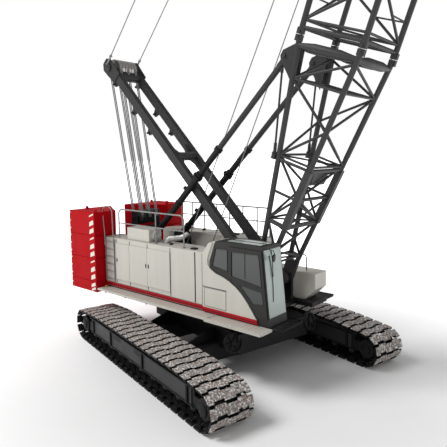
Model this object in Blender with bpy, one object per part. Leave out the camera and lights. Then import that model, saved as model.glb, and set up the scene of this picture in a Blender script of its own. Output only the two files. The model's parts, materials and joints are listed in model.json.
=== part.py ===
"""Lattice-boom crawler crane: crawler undercarriage, slewing upperworks, live mast and boom.

Units are metres and +Z is up. Lengths are set out from the slewing axis at ground level, with +X
towards the idler end of the crawlers, and the finished crane is then centred over the origin.
"""

import math

import bmesh
import bpy
from mathutils import Matrix, Vector

# Fits
SEAT_GAP = 0.0003
RUNNING_CLEARANCE = 0.005
PIN_SIDES = 24
TUBE_SIDES = 16
CHORD_SIDES = 6
LACING_SIDES = 5
CHORD_TWIST = 11.0
LACING_TWIST = 7.0
RAIL_SIDES = 6

# Working angles at rest, in degrees
SLEW_ANGLE = 13.47
BOOM_ANGLE = 70.8
MAST_ANGLE = 134.5

# Crawlers
TRACK_LENGTH = 7.83
TRACK_GAUGE = 5.42
SHOE_WIDTH = 1.137
SHOE_COUNT = 51
SHOE_GAP = 0.035
SHOE_RELIEF = 0.032
TRACK_END_RADIUS = 0.485
TRACK_TOP_RISE = 0.09
TRACK_CROWN_HALF_LENGTH = 2.3
TRACK_DEPTH = 0.16
ARC_STEPS = 24
TRACK_FRAME_WIDTH = 0.80
TRACK_FRAME_SETBACK = 0.915
TRACK_FRAME_TOP = 0.76
TRACK_SKID_HALF_LENGTH = 0.45
FORK_PLATE = 0.06
FORK_REACH = 0.62
FORK_HEIGHT = 0.26
WHEEL_CLEARANCE = 0.03
SPROCKET_TEETH = 12
TOOTH_DEPTH = 0.04
ROLLER_RADIUS = 0.12
ROLLER_COUNT = 10
ROLLER_WIDTH = 0.66
ROLLER_HEADROOM = 0.02
ROLLER_SETBACK = 0.15
ROLLER_RAIL_WIDTH = 0.2

# Carbody
CARBODY_LENGTH = 2.9
CARBODY_WIDTH = 2.4
CARBODY_BOTTOM = 0.72
CARBODY_TOP = 1.30
AXLE_OFFSET = 1.05
AXLE_LENGTHWISE = 0.62
AXLE_BOTTOM = 0.40
AXLE_TOP = 0.84
RING_SEAT_RADIUS = 1.08
RING_SEAT_HEIGHT = 0.12
RING_RADIUS = 0.98
RING_BORE_RADIUS = 0.70
RING_HEIGHT = 0.16
CARBODY_WEIGHT_LENGTH = 0.72
CARBODY_WEIGHT_WIDTH = 2.5
CARBODY_WEIGHT_BOTTOM = 0.78
CARBODY_WEIGHT_TOP = 1.34

# Upper frame
DECK_THICKNESS = 0.12
DECK_REAR = -3.78
DECK_FRONT = 1.95
DECK_CORE_HALF_WIDTH = 0.87
DECK_HALF_WIDTH = 1.61
RIGHT_WING_FRONT = 2.76
LEFT_WING_FRONT = 2.52
WALKWAY_WIDTH = 0.42
WALKWAY_THICKNESS = 0.06
WALKWAY_DROP = 0.025
WALKWAY_FRONT = 2.81
WALKWAY_REAR = -3.70

# Boom, mast and backstop pivots, in the upperworks' own X and Z
BOOM_PIVOT = (1.56, 1.90)
MAST_PIVOT = (1.75, 2.35)
BACKSTOP_PIVOT = (-2.55, 3.20)
BOOM_PIN_RADIUS = 0.07
MAST_PIN_RADIUS = 0.06
BACKSTOP_PIN_RADIUS = 0.045
BOOM_EYE_RADIUS = 0.15
MAST_EYE_RADIUS = 0.14
BACKSTOP_EYE_RADIUS = 0.115

# Layers across the machine, from its centre line outwards
MAST_LEG_INNER = 0.38
MAST_LEG_OUTER = 0.56
BOOM_LUG_INNER = 0.66
BOOM_LUG_OUTER = 0.78
BOOM_PLATE_OUTER = 0.84
BACKSTOP_LINE = 0.68
BACKSTOP_EYE_HALF_WIDTH = 0.105
BACKSTOP_PLATE = 0.10
BACKSTOP_FOOT_HALF_LENGTH = 0.52

# Cabinets
CABINET_INNER = 0.90
CABINET_OUTER = 1.606
CABINET_REAR = -3.74
CABINET_FRONT = 0.55
CABINET_TOP = 3.29
CABINET_WALL = 0.03
DOOR_BOTTOM = 1.98
DOOR_TOP = 3.14
DOOR_THICKNESS = 0.03
DOOR_RIM = 0.03
DOOR_GAP = 0.008
DOOR_SEAMS = (-3.20, -2.55, -1.72, -0.74)
ENGINE_REAR = -2.40
ENGINE_FRONT = -0.60
ENGINE_WIDTH = 0.46
ENGINE_HEIGHT = 0.85

# Operator's cab, outlines in X and Z
CAB_OUTER = 1.63
CAB_INNER = 0.86
CAB_WALL = 0.045
CAB_REAR = 0.80
CAB_REAR_ROOF = 1.02
CAB_ROOF_FRONT = 2.515
CAB_FLOOR_FRONT = 2.74
CAB_TOP = 3.66
CAB_SHOULDER = 3.10
CAB_DOOR_THICKNESS = 0.035
CAB_DOOR_RIM = 0.02
CAB_DOOR_OUTLINE = (
    (1.46, 2.76), (1.75, 2.60), (2.05, 2.33), (2.27, 2.07), (2.38, 1.90), (2.69, 1.90), (2.50, 3.56),
    (1.46, 3.56))
DOOR_WINDOW = ((1.57, 2.81), (2.52, 2.67), (2.43, 3.47), (1.57, 3.45))
DOOR_LOW_WINDOW = ((1.80, 2.64), (2.25, 2.20), (2.575, 2.24), (2.535, 2.55))
REAR_WINDOW = ((0.88, 2.98), (1.41, 2.90), (1.41, 3.47), (1.01, 3.47))
LEFT_WINDOW = ((0.95, 2.55), (2.45, 2.55), (2.36, 3.45), (1.05, 3.45))
WINDSHIELD_BOTTOM = 2.15
WINDSHIELD_TOP = 3.52
WINDSHIELD_MARGIN = 0.06
ROOF_WINDOW_REAR = 1.35
ROOF_WINDOW_FRONT = 2.25
GLASS_THICKNESS = 0.01
SEAT_REAR = 1.10
SEAT_FRONT = 1.62
SEAT_WIDTH = 0.50
SEAT_HEIGHT = 0.45
SEAT_BACK_HEIGHT = 1.10
SEAT_BACK_THICKNESS = 0.12

# Roof and deck equipment
AIR_CLEANER_REAR = -2.77
AIR_CLEANER_FRONT = -1.75
AIR_CLEANER_OUTER = 1.50
AIR_CLEANER_INNER = 1.00
AIR_CLEANER_TOP = 3.67
AIR_INTAKE_RADIUS = 0.15
AIR_INTAKE_LENGTH = 0.09
RAIL_TOP = 4.20
RAIL_MIDDLE = 3.76
RAIL_RADIUS = 0.022
RIGHT_RAIL_LINE = 1.45
RIGHT_RAIL_POSTS = (-3.23, -1.50, -0.33)
LEFT_RAIL_LINE = 1.56
LEFT_RAIL_POSTS = (-3.43, -2.70, -1.60, -0.50, 0.50)
FRONT_BOX_REAR = 0.90
FRONT_BOX_FRONT = 2.50
FRONT_BOX_INNER = 0.95
FRONT_BOX_OUTER = 1.60
FRONT_BOX_TOP = 2.50
FRONT_BOX_CHAMFER = 0.35

# Winches
MAIN_WINCH_X = -1.35
MAIN_WINCH_Z = 2.42
MAIN_DRUM_RADIUS = 0.34
MAIN_FLANGE_RADIUS = 0.50
HOIST_WINCH_X = -3.36
HOIST_WINCH_Z = 2.45
HOIST_DRUM_RADIUS = 0.28
HOIST_FLANGE_RADIUS = 0.37
WINCH_HALF_WIDTH = 0.62
FLANGE_THICKNESS = 0.05
WINCH_STAND = 0.10

# Counterweights
STACK_FRONT = -3.78
STACK_REAR = -5.17
STACK_OUTER = 2.00
STACK_INNER_REAR = 0.30
STACK_INNER_FRONT = 1.15
STACK_SHOULDER = (-4.05, 1.00)
TRAY_BOTTOM = 1.50
TRAY_HEIGHT = 0.35
SLAB_HEIGHT = 0.75
SLAB_COUNT = 3

# Boom
CHORD_RADIUS = 0.07
LACING_RADIUS = 0.035
LACING_STAGGER = 0.043
BOOM_HALF_DEPTH = 0.83
BOOM_HALF_WIDTH = 0.86
BUTT_LENGTH = 6.90
INSERT_LENGTH = 9.00
TOP_LENGTH = 8.10
END_FRAME = 0.14
END_FRAME_RECESS = 0.015
FOOT_PLATE_LENGTH = 1.05
BUTT_LACING_START = 1.25
BUTT_BAYS = 4
INSERT_BAYS = 6
TOP_TAPER_START = 4.20
TOP_BAYS = 5
HEAD_HALF_DEPTH = 0.40
HEAD_HALF_WIDTH = 0.40
SHEAVE_RADIUS = 0.36
SHEAVE_HALF_STACK = 0.28
SHEAVE_COUNT = 4
GROOVE_DEPTH = 0.04
SHEAVE_FORWARD = 0.45
SHEAVE_DROP = 0.42
HEAD_PLATE = 0.05
BACKSTOP_STATION = 6.35
BACKSTOP_STANDOFF = 0.30
BACKSTOP_LUG_HALF_LENGTH = 0.62
BACKSTOP_LUG_THICKNESS = 0.06

# Mast
MAST_LENGTH = 9.20
MAST_LEG_DEPTH = 0.26
MAST_FOOT_TAPER = 0.9
MAST_CROSS_STATION = 4.90
MAST_CROSS_RADIUS = 0.13
MAST_GUSSET_LENGTH = 0.62
MAST_GUSSET_REACH = 0.30
MAST_GUSSET_THICKNESS = 0.08
MAST_SHEAVE_RADIUS = 0.30
MAST_SHEAVE_COUNT = 6

# Pendants, from the boom head to the mast head
PENDANT_LINE = 0.62
PENDANT_RADIUS = 0.028
PENDANT_EYE_RADIUS = 0.07
PENDANT_SETBACK = 0.2506
PENDANT_STANDOFF = 0.28

# Backstops
BARREL_RADIUS = 0.100
BARREL_NECK_RADIUS = 0.090
BARREL_NECK_START = 2.90
BARREL_LENGTH = 4.10
BARREL_BORE_START = 0.17
ROD_RADIUS = 0.08
ROD_START = 0.82
ROD_HEAD_HALF_WIDTH = 0.105

# Hook block
FALL_LENGTH = 2.40
FALL_RADIUS = 0.014
FALL_COUNT = 4
BLOCK_DEPTH = 0.34
BLOCK_WIDTH = 0.60
BLOCK_HEIGHT = 0.75
YOKE_HEIGHT = 0.05
HOOK_SHANK_RADIUS = 0.05
HOOK_SHANK_LENGTH = 0.16
HOOK_THROAT_RADIUS = 0.15
HOOK_STOCK_RADIUS = 0.05
HOOK_STEPS = 10
HOOK_START_ANGLE = 75.0
HOOK_SWEEP = 235.0

# Heights and levels that follow from the sizes above
TRACK_TOP = 2 * TRACK_END_RADIUS + TRACK_TOP_RISE
TRACK_FRAME_BOTTOM = TRACK_DEPTH + 2 * ROLLER_RADIUS + ROLLER_HEADROOM
TRACK_FRAME_LENGTH = TRACK_LENGTH - 2 * TRACK_FRAME_SETBACK
ROLLER_SPAN = TRACK_FRAME_LENGTH - 2 * ROLLER_SETBACK
RING_BOTTOM = CARBODY_TOP + RING_SEAT_HEIGHT + SEAT_GAP
DECK_BOTTOM = RING_BOTTOM + RING_HEIGHT + SEAT_GAP
DECK_TOP = DECK_BOTTOM + DECK_THICKNESS
HOUSE_BOTTOM = DECK_TOP + SEAT_GAP
FRAME_PLATE_INNER = MAST_LEG_OUTER + SEAT_GAP
FRAME_PLATE_OUTER = BOOM_LUG_INNER - SEAT_GAP
BOOM_LUG_CENTRE = (BOOM_LUG_INNER + BOOM_LUG_OUTER) / 2
INSERT_START = BUTT_LENGTH + SEAT_GAP
INSERT_END = INSERT_START + INSERT_LENGTH
TOP_START = INSERT_END + SEAT_GAP
TOP_END = TOP_START + TOP_LENGTH
SHEAVE_CENTRE = (TOP_END + SHEAVE_FORWARD, -SHEAVE_DROP)
PENDANT_BOOM_STATION = TOP_END - PENDANT_SETBACK

# Colour, roughness and metallic value of each finish
CREAM = ((0.56, 0.545, 0.48), 0.45, 0.0)
RED = ((0.48, 0.012, 0.02), 0.42, 0.0)
CHARCOAL = ((0.045, 0.048, 0.052), 0.45, 0.0)
BLACK = ((0.02, 0.02, 0.022), 0.5, 0.0)
SHOE_STEEL = ((0.14, 0.115, 0.10), 0.75, 0.6)
DARK_FRAME = ((0.035, 0.034, 0.033), 0.6, 0.0)
BARE_STEEL = ((0.35, 0.34, 0.33), 0.4, 0.9)
ROPE_STEEL = ((0.16, 0.16, 0.16), 0.6, 0.7)
GLASS = ((0.10, 0.13, 0.12), 0.08, 0.0)
FABRIC = ((0.05, 0.05, 0.055), 0.8, 0.0)


class Shape:
    """Closed solids gathered in one mesh, which may cross each other."""

    def __init__(self):
        self.mesh = bmesh.new()

    def box(self, low, high):
        """Add a box between two opposite corners."""
        size = Vector(high) - Vector(low)
        centre = (Vector(high) + Vector(low)) / 2
        placed = Matrix.Translation(centre) @ Matrix.Diagonal((*size, 1.0))
        bmesh.ops.create_cube(self.mesh, size=1.0, matrix=placed)
        return self

    def prism(self, outline, plane, low, high):
        """Add a flat outline, drawn in the XZ, XY or YZ plane, drawn out from low to high."""
        rings = []
        for level in (low, high):
            rings.append([self.mesh.verts.new(in_plane(point, plane, level)) for point in outline])
        faces = [self.mesh.faces.new(ring) for ring in rings]
        count = len(outline)
        for index in range(count):
            following = (index + 1) % count
            corners = (rings[0][index], rings[0][following], rings[1][following], rings[1][index])
            faces.append(self.mesh.faces.new(corners))
        bmesh.ops.recalc_face_normals(self.mesh, faces=faces)
        return self

    def rod(self, start, end, radius, sides=TUBE_SIDES, twist=0.0):
        """Add a round bar from one point to another, with its corners turned by a twist in degrees."""
        run = Vector(end) - Vector(start)
        turn = run.to_track_quat("Z", "Y").to_matrix().to_4x4() @ Matrix.Rotation(
            math.radians(twist), 4, "Z")
        placed = Matrix.Translation((Vector(start) + Vector(end)) / 2) @ turn
        bmesh.ops.create_cone(
            self.mesh, cap_ends=True, segments=sides, radius1=radius, radius2=radius, depth=run.length,
            matrix=placed)
        return self

    def bar(self, start, end, width, depth):
        """Add a rectangular bar whose width lies across the machine, along Y."""
        run = Vector(end) - Vector(start)
        along = run.normalized()
        across = Vector((0, 1, 0))
        if abs(along.dot(across)) > 0.9:
            across = Vector((1, 0, 0))
        normal = along.cross(across).normalized()
        across = normal.cross(along)
        turn = Matrix((along, across, normal)).transposed().to_4x4()
        placed = Matrix.Translation((Vector(start) + Vector(end)) / 2) @ turn
        bmesh.ops.create_cube(
            self.mesh, size=1.0, matrix=placed @ Matrix.Diagonal((run.length, width, depth, 1.0)))
        return self


def add_bent_bar(shape, points, radii, sides):
    """Add a round bar that follows points in the XZ plane, with a radius at each."""
    mesh = shape.mesh
    rings = []
    count = len(points)
    for index, place in enumerate(points):
        run = (Vector(points[min(index + 1, count - 1)]) - Vector(points[max(index - 1, 0)])).normalized()
        normal = Vector((-run.z, 0, run.x))
        ring = []
        for side in range(sides):
            angle = 2 * math.pi * side / sides
            offset = normal * math.cos(angle) + Vector((0, 1, 0)) * math.sin(angle)
            ring.append(mesh.verts.new(Vector(place) + offset * radii[index]))
        rings.append(ring)
    faces = [mesh.faces.new(rings[0]), mesh.faces.new(rings[-1])]
    for near, far in zip(rings, rings[1:]):
        for side in range(sides):
            following = (side + 1) % sides
            faces.append(mesh.faces.new((near[side], near[following], far[following], far[side])))
    bmesh.ops.recalc_face_normals(mesh, faces=faces)
    return shape


def in_plane(point, plane, level):
    """Return the 3-D point for a 2-D point of an outline."""
    first, second = point
    if plane == "xz":
        return (first, level, second)
    if plane == "xy":
        return (first, second, level)
    return (level, first, second)


def paint(name, finish):
    """Make one part's material."""
    colour, roughness, metallic = finish
    material = bpy.data.materials.new(f"{name}_finish")
    material.use_nodes = True
    shader = material.node_tree.nodes["Principled BSDF"]
    shader.inputs["Base Color"].default_value = (*colour, 1.0)
    shader.inputs["Roughness"].default_value = roughness
    shader.inputs["Metallic"].default_value = metallic
    material.diffuse_color = (*colour, 1.0)
    return material


def mesh_object(name, shape, parent, origin=(0, 0, 0)):
    """Turn a shape into an object under its parent, with its origin where it is asked for."""
    bmesh.ops.translate(shape.mesh, verts=shape.mesh.verts, vec=-Vector(origin))
    mesh = bpy.data.meshes.new(name)
    shape.mesh.to_mesh(mesh)
    shape.mesh.free()
    mesh.shade_smooth()
    mesh.set_sharp_from_angle(angle=math.radians(35))
    made = bpy.data.objects.new(name, mesh)
    bpy.context.scene.collection.objects.link(made)
    made.parent = parent
    made.location = origin
    return made


def combine(target, tool_name, shape, operation, origin=(0, 0, 0)):
    """Join a shape to an object, or cut it away."""
    tool = mesh_object(tool_name, shape, target.parent, origin)
    tool.hide_render = True
    tool.display_type = "WIRE"
    modifier = target.modifiers.new(tool_name, "BOOLEAN")
    modifier.operation = operation
    modifier.solver = "EXACT"
    modifier.use_self = True
    modifier.object = tool


def part(name, finish, parent, base, joined=None, cut=None, origin=(0, 0, 0)):
    """Build one sub-part: a base shape, what is joined to it, and what is cut from it."""
    made = mesh_object(name, base, parent, origin)
    made.data.materials.append(paint(name, finish))
    if joined is not None:
        combine(made, f"{name}_joined", joined, "UNION", origin)
    if cut is not None:
        combine(made, f"{name}_cut", cut, "DIFFERENCE", origin)
    return made


def pivot(name, parent, location, angle_about_y=0.0, angle_about_z=0.0):
    """Make an empty on a joint's axis; its X axis points along the part it carries."""
    empty = bpy.data.objects.new(name, None)
    bpy.context.scene.collection.objects.link(empty)
    empty.parent = parent
    empty.location = location
    empty.rotation_euler = (0, -math.radians(angle_about_y), math.radians(angle_about_z))
    return empty


def inset(outline, distance):
    """Move each side of a convex outline inwards by a distance, or outwards if it is negative."""
    count = len(outline)
    area = 0.0
    for index in range(count):
        here, there = outline[index], outline[(index + 1) % count]
        area += here[0] * there[1] - there[0] * here[1]
    turn = 1.0 if area > 0 else -1.0
    lines = []
    for index in range(count):
        here = Vector(outline[index])
        step = (Vector(outline[(index + 1) % count]) - here).normalized()
        inward = Vector((-step.y, step.x)) * turn
        lines.append((here + inward * distance, step))
    moved = []
    for index in range(count):
        start, step = lines[index - 1]
        other, other_step = lines[index]
        cross = step.x * other_step.y - step.y * other_step.x
        gap = other - start
        along = (gap.x * other_step.y - gap.y * other_step.x) / cross
        moved.append(tuple(start + step * along))
    return moved


def disc(centre, radius, sides, start=0.0):
    """Return a regular outline round a centre."""
    points = []
    for index in range(sides):
        angle = start + 2 * math.pi * index / sides
        points.append((centre[0] + radius * math.cos(angle), centre[1] + radius * math.sin(angle)))
    return points


def lerp(first, second, share):
    """Return the point a share of the way between two points."""
    return tuple(a + (b - a) * share for a, b in zip(first, second))


def track_line():
    """Return the closed line of the shoes' faces, as points in X and Z."""
    centre = TRACK_LENGTH / 2 - TRACK_END_RADIUS
    line = [(-centre, 0.0), (centre, 0.0)]
    for index in range(1, ARC_STEPS):
        angle = -math.pi / 2 + math.pi * index / ARC_STEPS
        line.append((centre + TRACK_END_RADIUS * math.cos(angle),
            TRACK_END_RADIUS * (1 + math.sin(angle))))
    line += [(centre, 2 * TRACK_END_RADIUS), (TRACK_CROWN_HALF_LENGTH, TRACK_TOP)]
    line += [(-TRACK_CROWN_HALF_LENGTH, TRACK_TOP), (-centre, 2 * TRACK_END_RADIUS)]
    for index in range(1, ARC_STEPS):
        angle = math.pi / 2 + math.pi * index / ARC_STEPS
        line.append((-centre + TRACK_END_RADIUS * math.cos(angle),
            TRACK_END_RADIUS * (1 + math.sin(angle))))
    return line


def track_points(line, distances, depth):
    """Return points at distances along a closed line, each a depth inside it."""
    ends = [Vector(point) for point in line + line[:1]]
    lengths = [0.0]
    for index in range(len(line)):
        lengths.append(lengths[-1] + (ends[index + 1] - ends[index]).length)
    points = []
    for distance in distances:
        distance = distance % lengths[-1]
        index = max(i for i in range(len(line)) if lengths[i] <= distance)
        step = (ends[index + 1] - ends[index]).normalized()
        place = ends[index] + step * (distance - lengths[index])
        points.append(tuple(place + Vector((-step.y, step.x)) * depth))
    return points


def track_length(line):
    """Return the length round a closed line."""
    return sum((Vector(line[index]) - Vector(line[index - 1])).length for index in range(len(line)))


def make_track(name, parent, side):
    """Build a crawler track as one loop with its shoes in its outline."""
    line = track_line()
    pitch = track_length(line) / SHOE_COUNT
    starts = [pitch * index for index in range(SHOE_COUNT)]
    valleys = track_points(line, starts, SHOE_RELIEF)
    valley_ends = track_points(line, [start + SHOE_GAP for start in starts], SHOE_RELIEF)
    pads = track_points(line, [start + SHOE_GAP for start in starts], 0.0)
    pad_ends = track_points(line, [start + pitch for start in starts], 0.0)
    inner = track_points(line, starts, TRACK_DEPTH)
    shape = Shape()
    mesh = shape.mesh
    low = side * TRACK_GAUGE / 2 - SHOE_WIDTH / 2
    rows = []
    for level in (low, low + SHOE_WIDTH):
        rows.append([
            [mesh.verts.new(in_plane(point, "xz", level)) for point in loop]
            for loop in (valleys, valley_ends, pads, pad_ends, inner)])
    for index in range(SHOE_COUNT):
        following = (index + 1) % SHOE_COUNT
        for valley, valley_end, pad, pad_end, bore in rows:
            mesh.faces.new((
                valley[index], valley_end[index], pad[index], pad_end[index], valley[following],
                bore[following], bore[index]))
        near, far = rows
        ring = ((0, index), (1, index), (2, index), (3, index), (0, following))
        for (loop, place), (next_loop, next_place) in zip(ring, ring[1:]):
            mesh.faces.new((
                near[loop][place], near[next_loop][next_place], far[next_loop][next_place],
                far[loop][place]))
        mesh.faces.new((near[4][index], near[4][following], far[4][following], far[4][index]))
    bmesh.ops.recalc_face_normals(mesh, faces=mesh.faces)
    return part(name, SHOE_STEEL, parent, shape)


def make_track_frame(name, parent, side):
    """Build the beam inside one track, with a fork at each end and a skid for the top run."""
    centre = side * TRACK_GAUGE / 2
    half = TRACK_FRAME_WIDTH / 2
    base = Shape().box(
        (-TRACK_FRAME_LENGTH / 2, centre - half, TRACK_FRAME_BOTTOM),
        (TRACK_FRAME_LENGTH / 2, centre + half, TRACK_FRAME_TOP))
    joined = Shape()
    for end in (-1, 1):
        for edge in (-1, 1):
            outer = centre + edge * half
            inner = outer - edge * FORK_PLATE
            near = end * (TRACK_FRAME_LENGTH / 2 - FORK_REACH / 2)
            far = end * (TRACK_FRAME_LENGTH / 2 + FORK_REACH)
            joined.box(
                (min(near, far), min(outer, inner), TRACK_END_RADIUS - FORK_HEIGHT / 2),
                (max(near, far), max(outer, inner), TRACK_END_RADIUS + FORK_HEIGHT / 2))
    skid_top = TRACK_TOP - TRACK_DEPTH - SEAT_GAP
    joined.box(
        (-TRACK_SKID_HALF_LENGTH, centre - half / 3, TRACK_FRAME_BOTTOM + FORK_PLATE),
        (TRACK_SKID_HALF_LENGTH, centre + half / 3, skid_top))
    return part(name, DARK_FRAME, parent, base, joined)


def make_end_wheel(name, parent, side, end, teeth):
    """Build a sprocket or an idler between the plates of a track frame's fork."""
    centre_x = end * (TRACK_LENGTH / 2 - TRACK_END_RADIUS)
    centre_y = side * TRACK_GAUGE / 2
    half = TRACK_FRAME_WIDTH / 2 - FORK_PLATE - SEAT_GAP
    radius = TRACK_END_RADIUS - TRACK_DEPTH - WHEEL_CLEARANCE
    place = (centre_x, TRACK_END_RADIUS)
    if teeth:
        outline = []
        for index, point in enumerate(disc(place, radius, 2 * teeth)):
            outline.append(point if index % 2 else lerp(point, place, TOOTH_DEPTH / radius))
    else:
        outline = disc(place, radius, PIN_SIDES)
    base = Shape().prism(outline, "xz", centre_y - half / 2, centre_y + half / 2)
    hub = Shape().prism(disc(place, FORK_HEIGHT / 2, TUBE_SIDES), "xz", centre_y - half, centre_y + half)
    return part(name, DARK_FRAME, parent, base, hub)


def make_rollers(name, parent, side):
    """Build the bottom rollers of one track under their rail."""
    centre = side * TRACK_GAUGE / 2
    level = TRACK_DEPTH + ROLLER_RADIUS + SEAT_GAP
    base = Shape().box(
        (-ROLLER_SPAN / 2 - ROLLER_RADIUS, centre - ROLLER_RAIL_WIDTH / 2, level),
        (ROLLER_SPAN / 2 + ROLLER_RADIUS, centre + ROLLER_RAIL_WIDTH / 2, TRACK_FRAME_BOTTOM - SEAT_GAP))
    wheels = Shape()
    for index in range(ROLLER_COUNT):
        x = -ROLLER_SPAN / 2 + ROLLER_SPAN * index / (ROLLER_COUNT - 1)
        wheels.prism(disc((x, level), ROLLER_RADIUS, 10), "xz", centre - ROLLER_WIDTH / 2,
            centre + ROLLER_WIDTH / 2)
    return part(name, DARK_FRAME, parent, base, wheels)


def make_undercarriage(root):
    """Build everything below the slewing ring, which stays still."""
    half_length = CARBODY_LENGTH / 2
    half_width = CARBODY_WIDTH / 2
    base = Shape().box((-half_length, -half_width, CARBODY_BOTTOM), (half_length, half_width, CARBODY_TOP))
    reach = TRACK_GAUGE / 2 - TRACK_FRAME_WIDTH / 2 - SEAT_GAP
    joined = Shape()
    for end in (-1, 1):
        centre = end * AXLE_OFFSET
        joined.box(
            (centre - AXLE_LENGTHWISE / 2, -reach, AXLE_BOTTOM),
            (centre + AXLE_LENGTHWISE / 2, reach, AXLE_TOP))
    joined.rod(
        (0, 0, (CARBODY_BOTTOM + CARBODY_TOP) / 2), (0, 0, CARBODY_TOP + RING_SEAT_HEIGHT),
        RING_SEAT_RADIUS, PIN_SIDES)
    part("carbody", DARK_FRAME, root, base, joined)

    ring = Shape().prism(
        disc((0, 0), RING_RADIUS, PIN_SIDES), "xy", RING_BOTTOM, RING_BOTTOM + RING_HEIGHT)
    bore = Shape().prism(
        disc((0, 0), RING_BORE_RADIUS, PIN_SIDES), "xy", RING_BOTTOM - RING_HEIGHT,
        RING_BOTTOM + 2 * RING_HEIGHT)
    part("slewing_ring", BARE_STEEL, root, ring, cut=bore)

    for label, end in (("front", 1), ("rear", -1)):
        near = end * (half_length + SEAT_GAP)
        far = end * (half_length + SEAT_GAP + CARBODY_WEIGHT_LENGTH)
        half = CARBODY_WEIGHT_WIDTH / 2
        outline = ((min(near, far), -half), (max(near, far), -half), (max(near, far), half),
            (min(near, far), half))
        weight = Shape().prism(outline, "xy", CARBODY_WEIGHT_BOTTOM, CARBODY_WEIGHT_TOP)
        part(f"{label}_carbody_weight", BLACK, root, weight)

    for label, side in (("right", -1), ("left", 1)):
        make_track(f"{label}_track", root, side)
        make_track_frame(f"{label}_track_frame", root, side)
        make_end_wheel(f"{label}_sprocket", root, side, -1, SPROCKET_TEETH)
        make_end_wheel(f"{label}_idler", root, side, 1, 0)
        make_rollers(f"{label}_rollers", root, side)


def plate_pair(shape, outline, inner, outer):
    """Add a plate on each side of the centre line."""
    shape.prism(outline, "xz", inner, outer)
    shape.prism(outline, "xz", -outer, -inner)


def make_upper_frame(upper):
    """Build the deck with the clevises of the boom, the mast and the backstops."""
    core = DECK_CORE_HALF_WIDTH
    base = Shape().box((DECK_REAR + SEAT_GAP, -core, DECK_BOTTOM), (DECK_FRONT, core, DECK_TOP))
    joined = Shape()
    overlap = core - BACKSTOP_PLATE
    joined.box((DECK_REAR + SEAT_GAP, -DECK_HALF_WIDTH, DECK_BOTTOM),
        (RIGHT_WING_FRONT, -overlap, DECK_TOP))
    joined.box((DECK_REAR + SEAT_GAP, overlap, DECK_BOTTOM), (LEFT_WING_FRONT, DECK_HALF_WIDTH, DECK_TOP))
    boom_x, boom_z = BOOM_PIVOT
    mast_x, mast_z = MAST_PIVOT
    buried = DECK_BOTTOM + DECK_THICKNESS / 2
    tall = (
        (boom_x - 0.42, buried), (mast_x + 0.20, buried), (mast_x + 0.20, mast_z),
        (mast_x + 0.10, mast_z + 0.17),
        (mast_x - 0.10, mast_z + 0.17), (boom_x - 0.22, boom_z + 0.1))
    plate_pair(joined, tall, FRAME_PLATE_INNER, FRAME_PLATE_OUTER)
    low = (
        (boom_x - 0.32, buried), (boom_x + 0.32, buried), (boom_x + 0.20, boom_z + 0.1),
        (boom_x + 0.09, boom_z + 0.2),
        (boom_x - 0.09, boom_z + 0.2), (boom_x - 0.20, boom_z + 0.1))
    plate_pair(joined, low, BOOM_LUG_OUTER + SEAT_GAP, BOOM_PLATE_OUTER)
    rest_x, rest_z = BACKSTOP_PIVOT
    foot = BACKSTOP_FOOT_HALF_LENGTH
    post = (
        (rest_x - foot, buried), (rest_x + foot, buried), (rest_x + 0.17, rest_z + 0.06),
        (rest_x + 0.09, rest_z + 0.15),
        (rest_x - 0.09, rest_z + 0.15), (rest_x - 0.17, rest_z + 0.06))
    reach = BACKSTOP_EYE_HALF_WIDTH + SEAT_GAP
    plate_pair(joined, post, BACKSTOP_LINE + reach, BACKSTOP_LINE + reach + BACKSTOP_PLATE)
    plate_pair(joined, post, BACKSTOP_LINE - reach - BACKSTOP_PLATE, BACKSTOP_LINE - reach)
    pins = Shape()
    for side in (-1, 1):
        pins.rod(
            (boom_x, side * (FRAME_PLATE_OUTER - 0.02), boom_z),
            (boom_x, side * (BOOM_LUG_OUTER + 0.02), boom_z),
            BOOM_PIN_RADIUS, PIN_SIDES)
        pins.rod(
            (mast_x, side * (FRAME_PLATE_INNER + 0.02), mast_z), (mast_x, side * MAST_LEG_INNER, mast_z),
            MAST_PIN_RADIUS, PIN_SIDES)
        pins.rod(
            (rest_x, side * (BACKSTOP_LINE - reach - 0.02), rest_z),
            (rest_x, side * (BACKSTOP_LINE + reach + 0.02), rest_z), BACKSTOP_PIN_RADIUS, PIN_SIDES)
    frame = part("upper_frame", CREAM, upper, base, joined)
    combine(frame, "upper_frame_pins", pins, "UNION")


def door_outline(rear, front):
    """Return a cabinet door's corners between two seams."""
    return [
        (rear + DOOR_GAP / 2, DOOR_BOTTOM), (front - DOOR_GAP / 2, DOOR_BOTTOM),
        (front - DOOR_GAP / 2, DOOR_TOP), (rear + DOOR_GAP / 2, DOOR_TOP)]


def make_cabinet(name, upper, side, seams):
    """Build one hollow cabinet with an opening behind each of its doors."""
    low, high = sorted((side * CABINET_INNER, side * CABINET_OUTER))
    base = Shape().box((CABINET_REAR, low, HOUSE_BOTTOM), (CABINET_FRONT, high, CABINET_TOP))
    wall = CABINET_WALL
    cut = Shape().box(
        (CABINET_REAR + wall, low + wall, HOUSE_BOTTOM + wall),
        (CABINET_FRONT - wall, high - wall, CABINET_TOP - wall))
    inner, outer = sorted((side * (CABINET_OUTER - 2 * wall), side * (CABINET_OUTER + wall)))
    for rear, front in seams:
        cut.prism(inset(door_outline(rear, front), DOOR_RIM), "xz", inner, outer)
    part(name, CREAM, upper, base, cut=cut)


def make_cabinet_door(name, upper, side, rear, front, hinge_at_front):
    """Build a door that lies on its cabinet's side and turns on its outer vertical edge."""
    inner = side * (CABINET_OUTER + SEAT_GAP)
    outer = side * (CABINET_OUTER + SEAT_GAP + DOOR_THICKNESS)
    hinge_x = front - DOOR_GAP / 2 if hinge_at_front else rear + DOOR_GAP / 2
    panel = Shape().prism(door_outline(rear, front), "xz", min(inner, outer), max(inner, outer))
    part(name, CREAM, upper, panel, origin=(hinge_x, outer, DOOR_BOTTOM))


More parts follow.
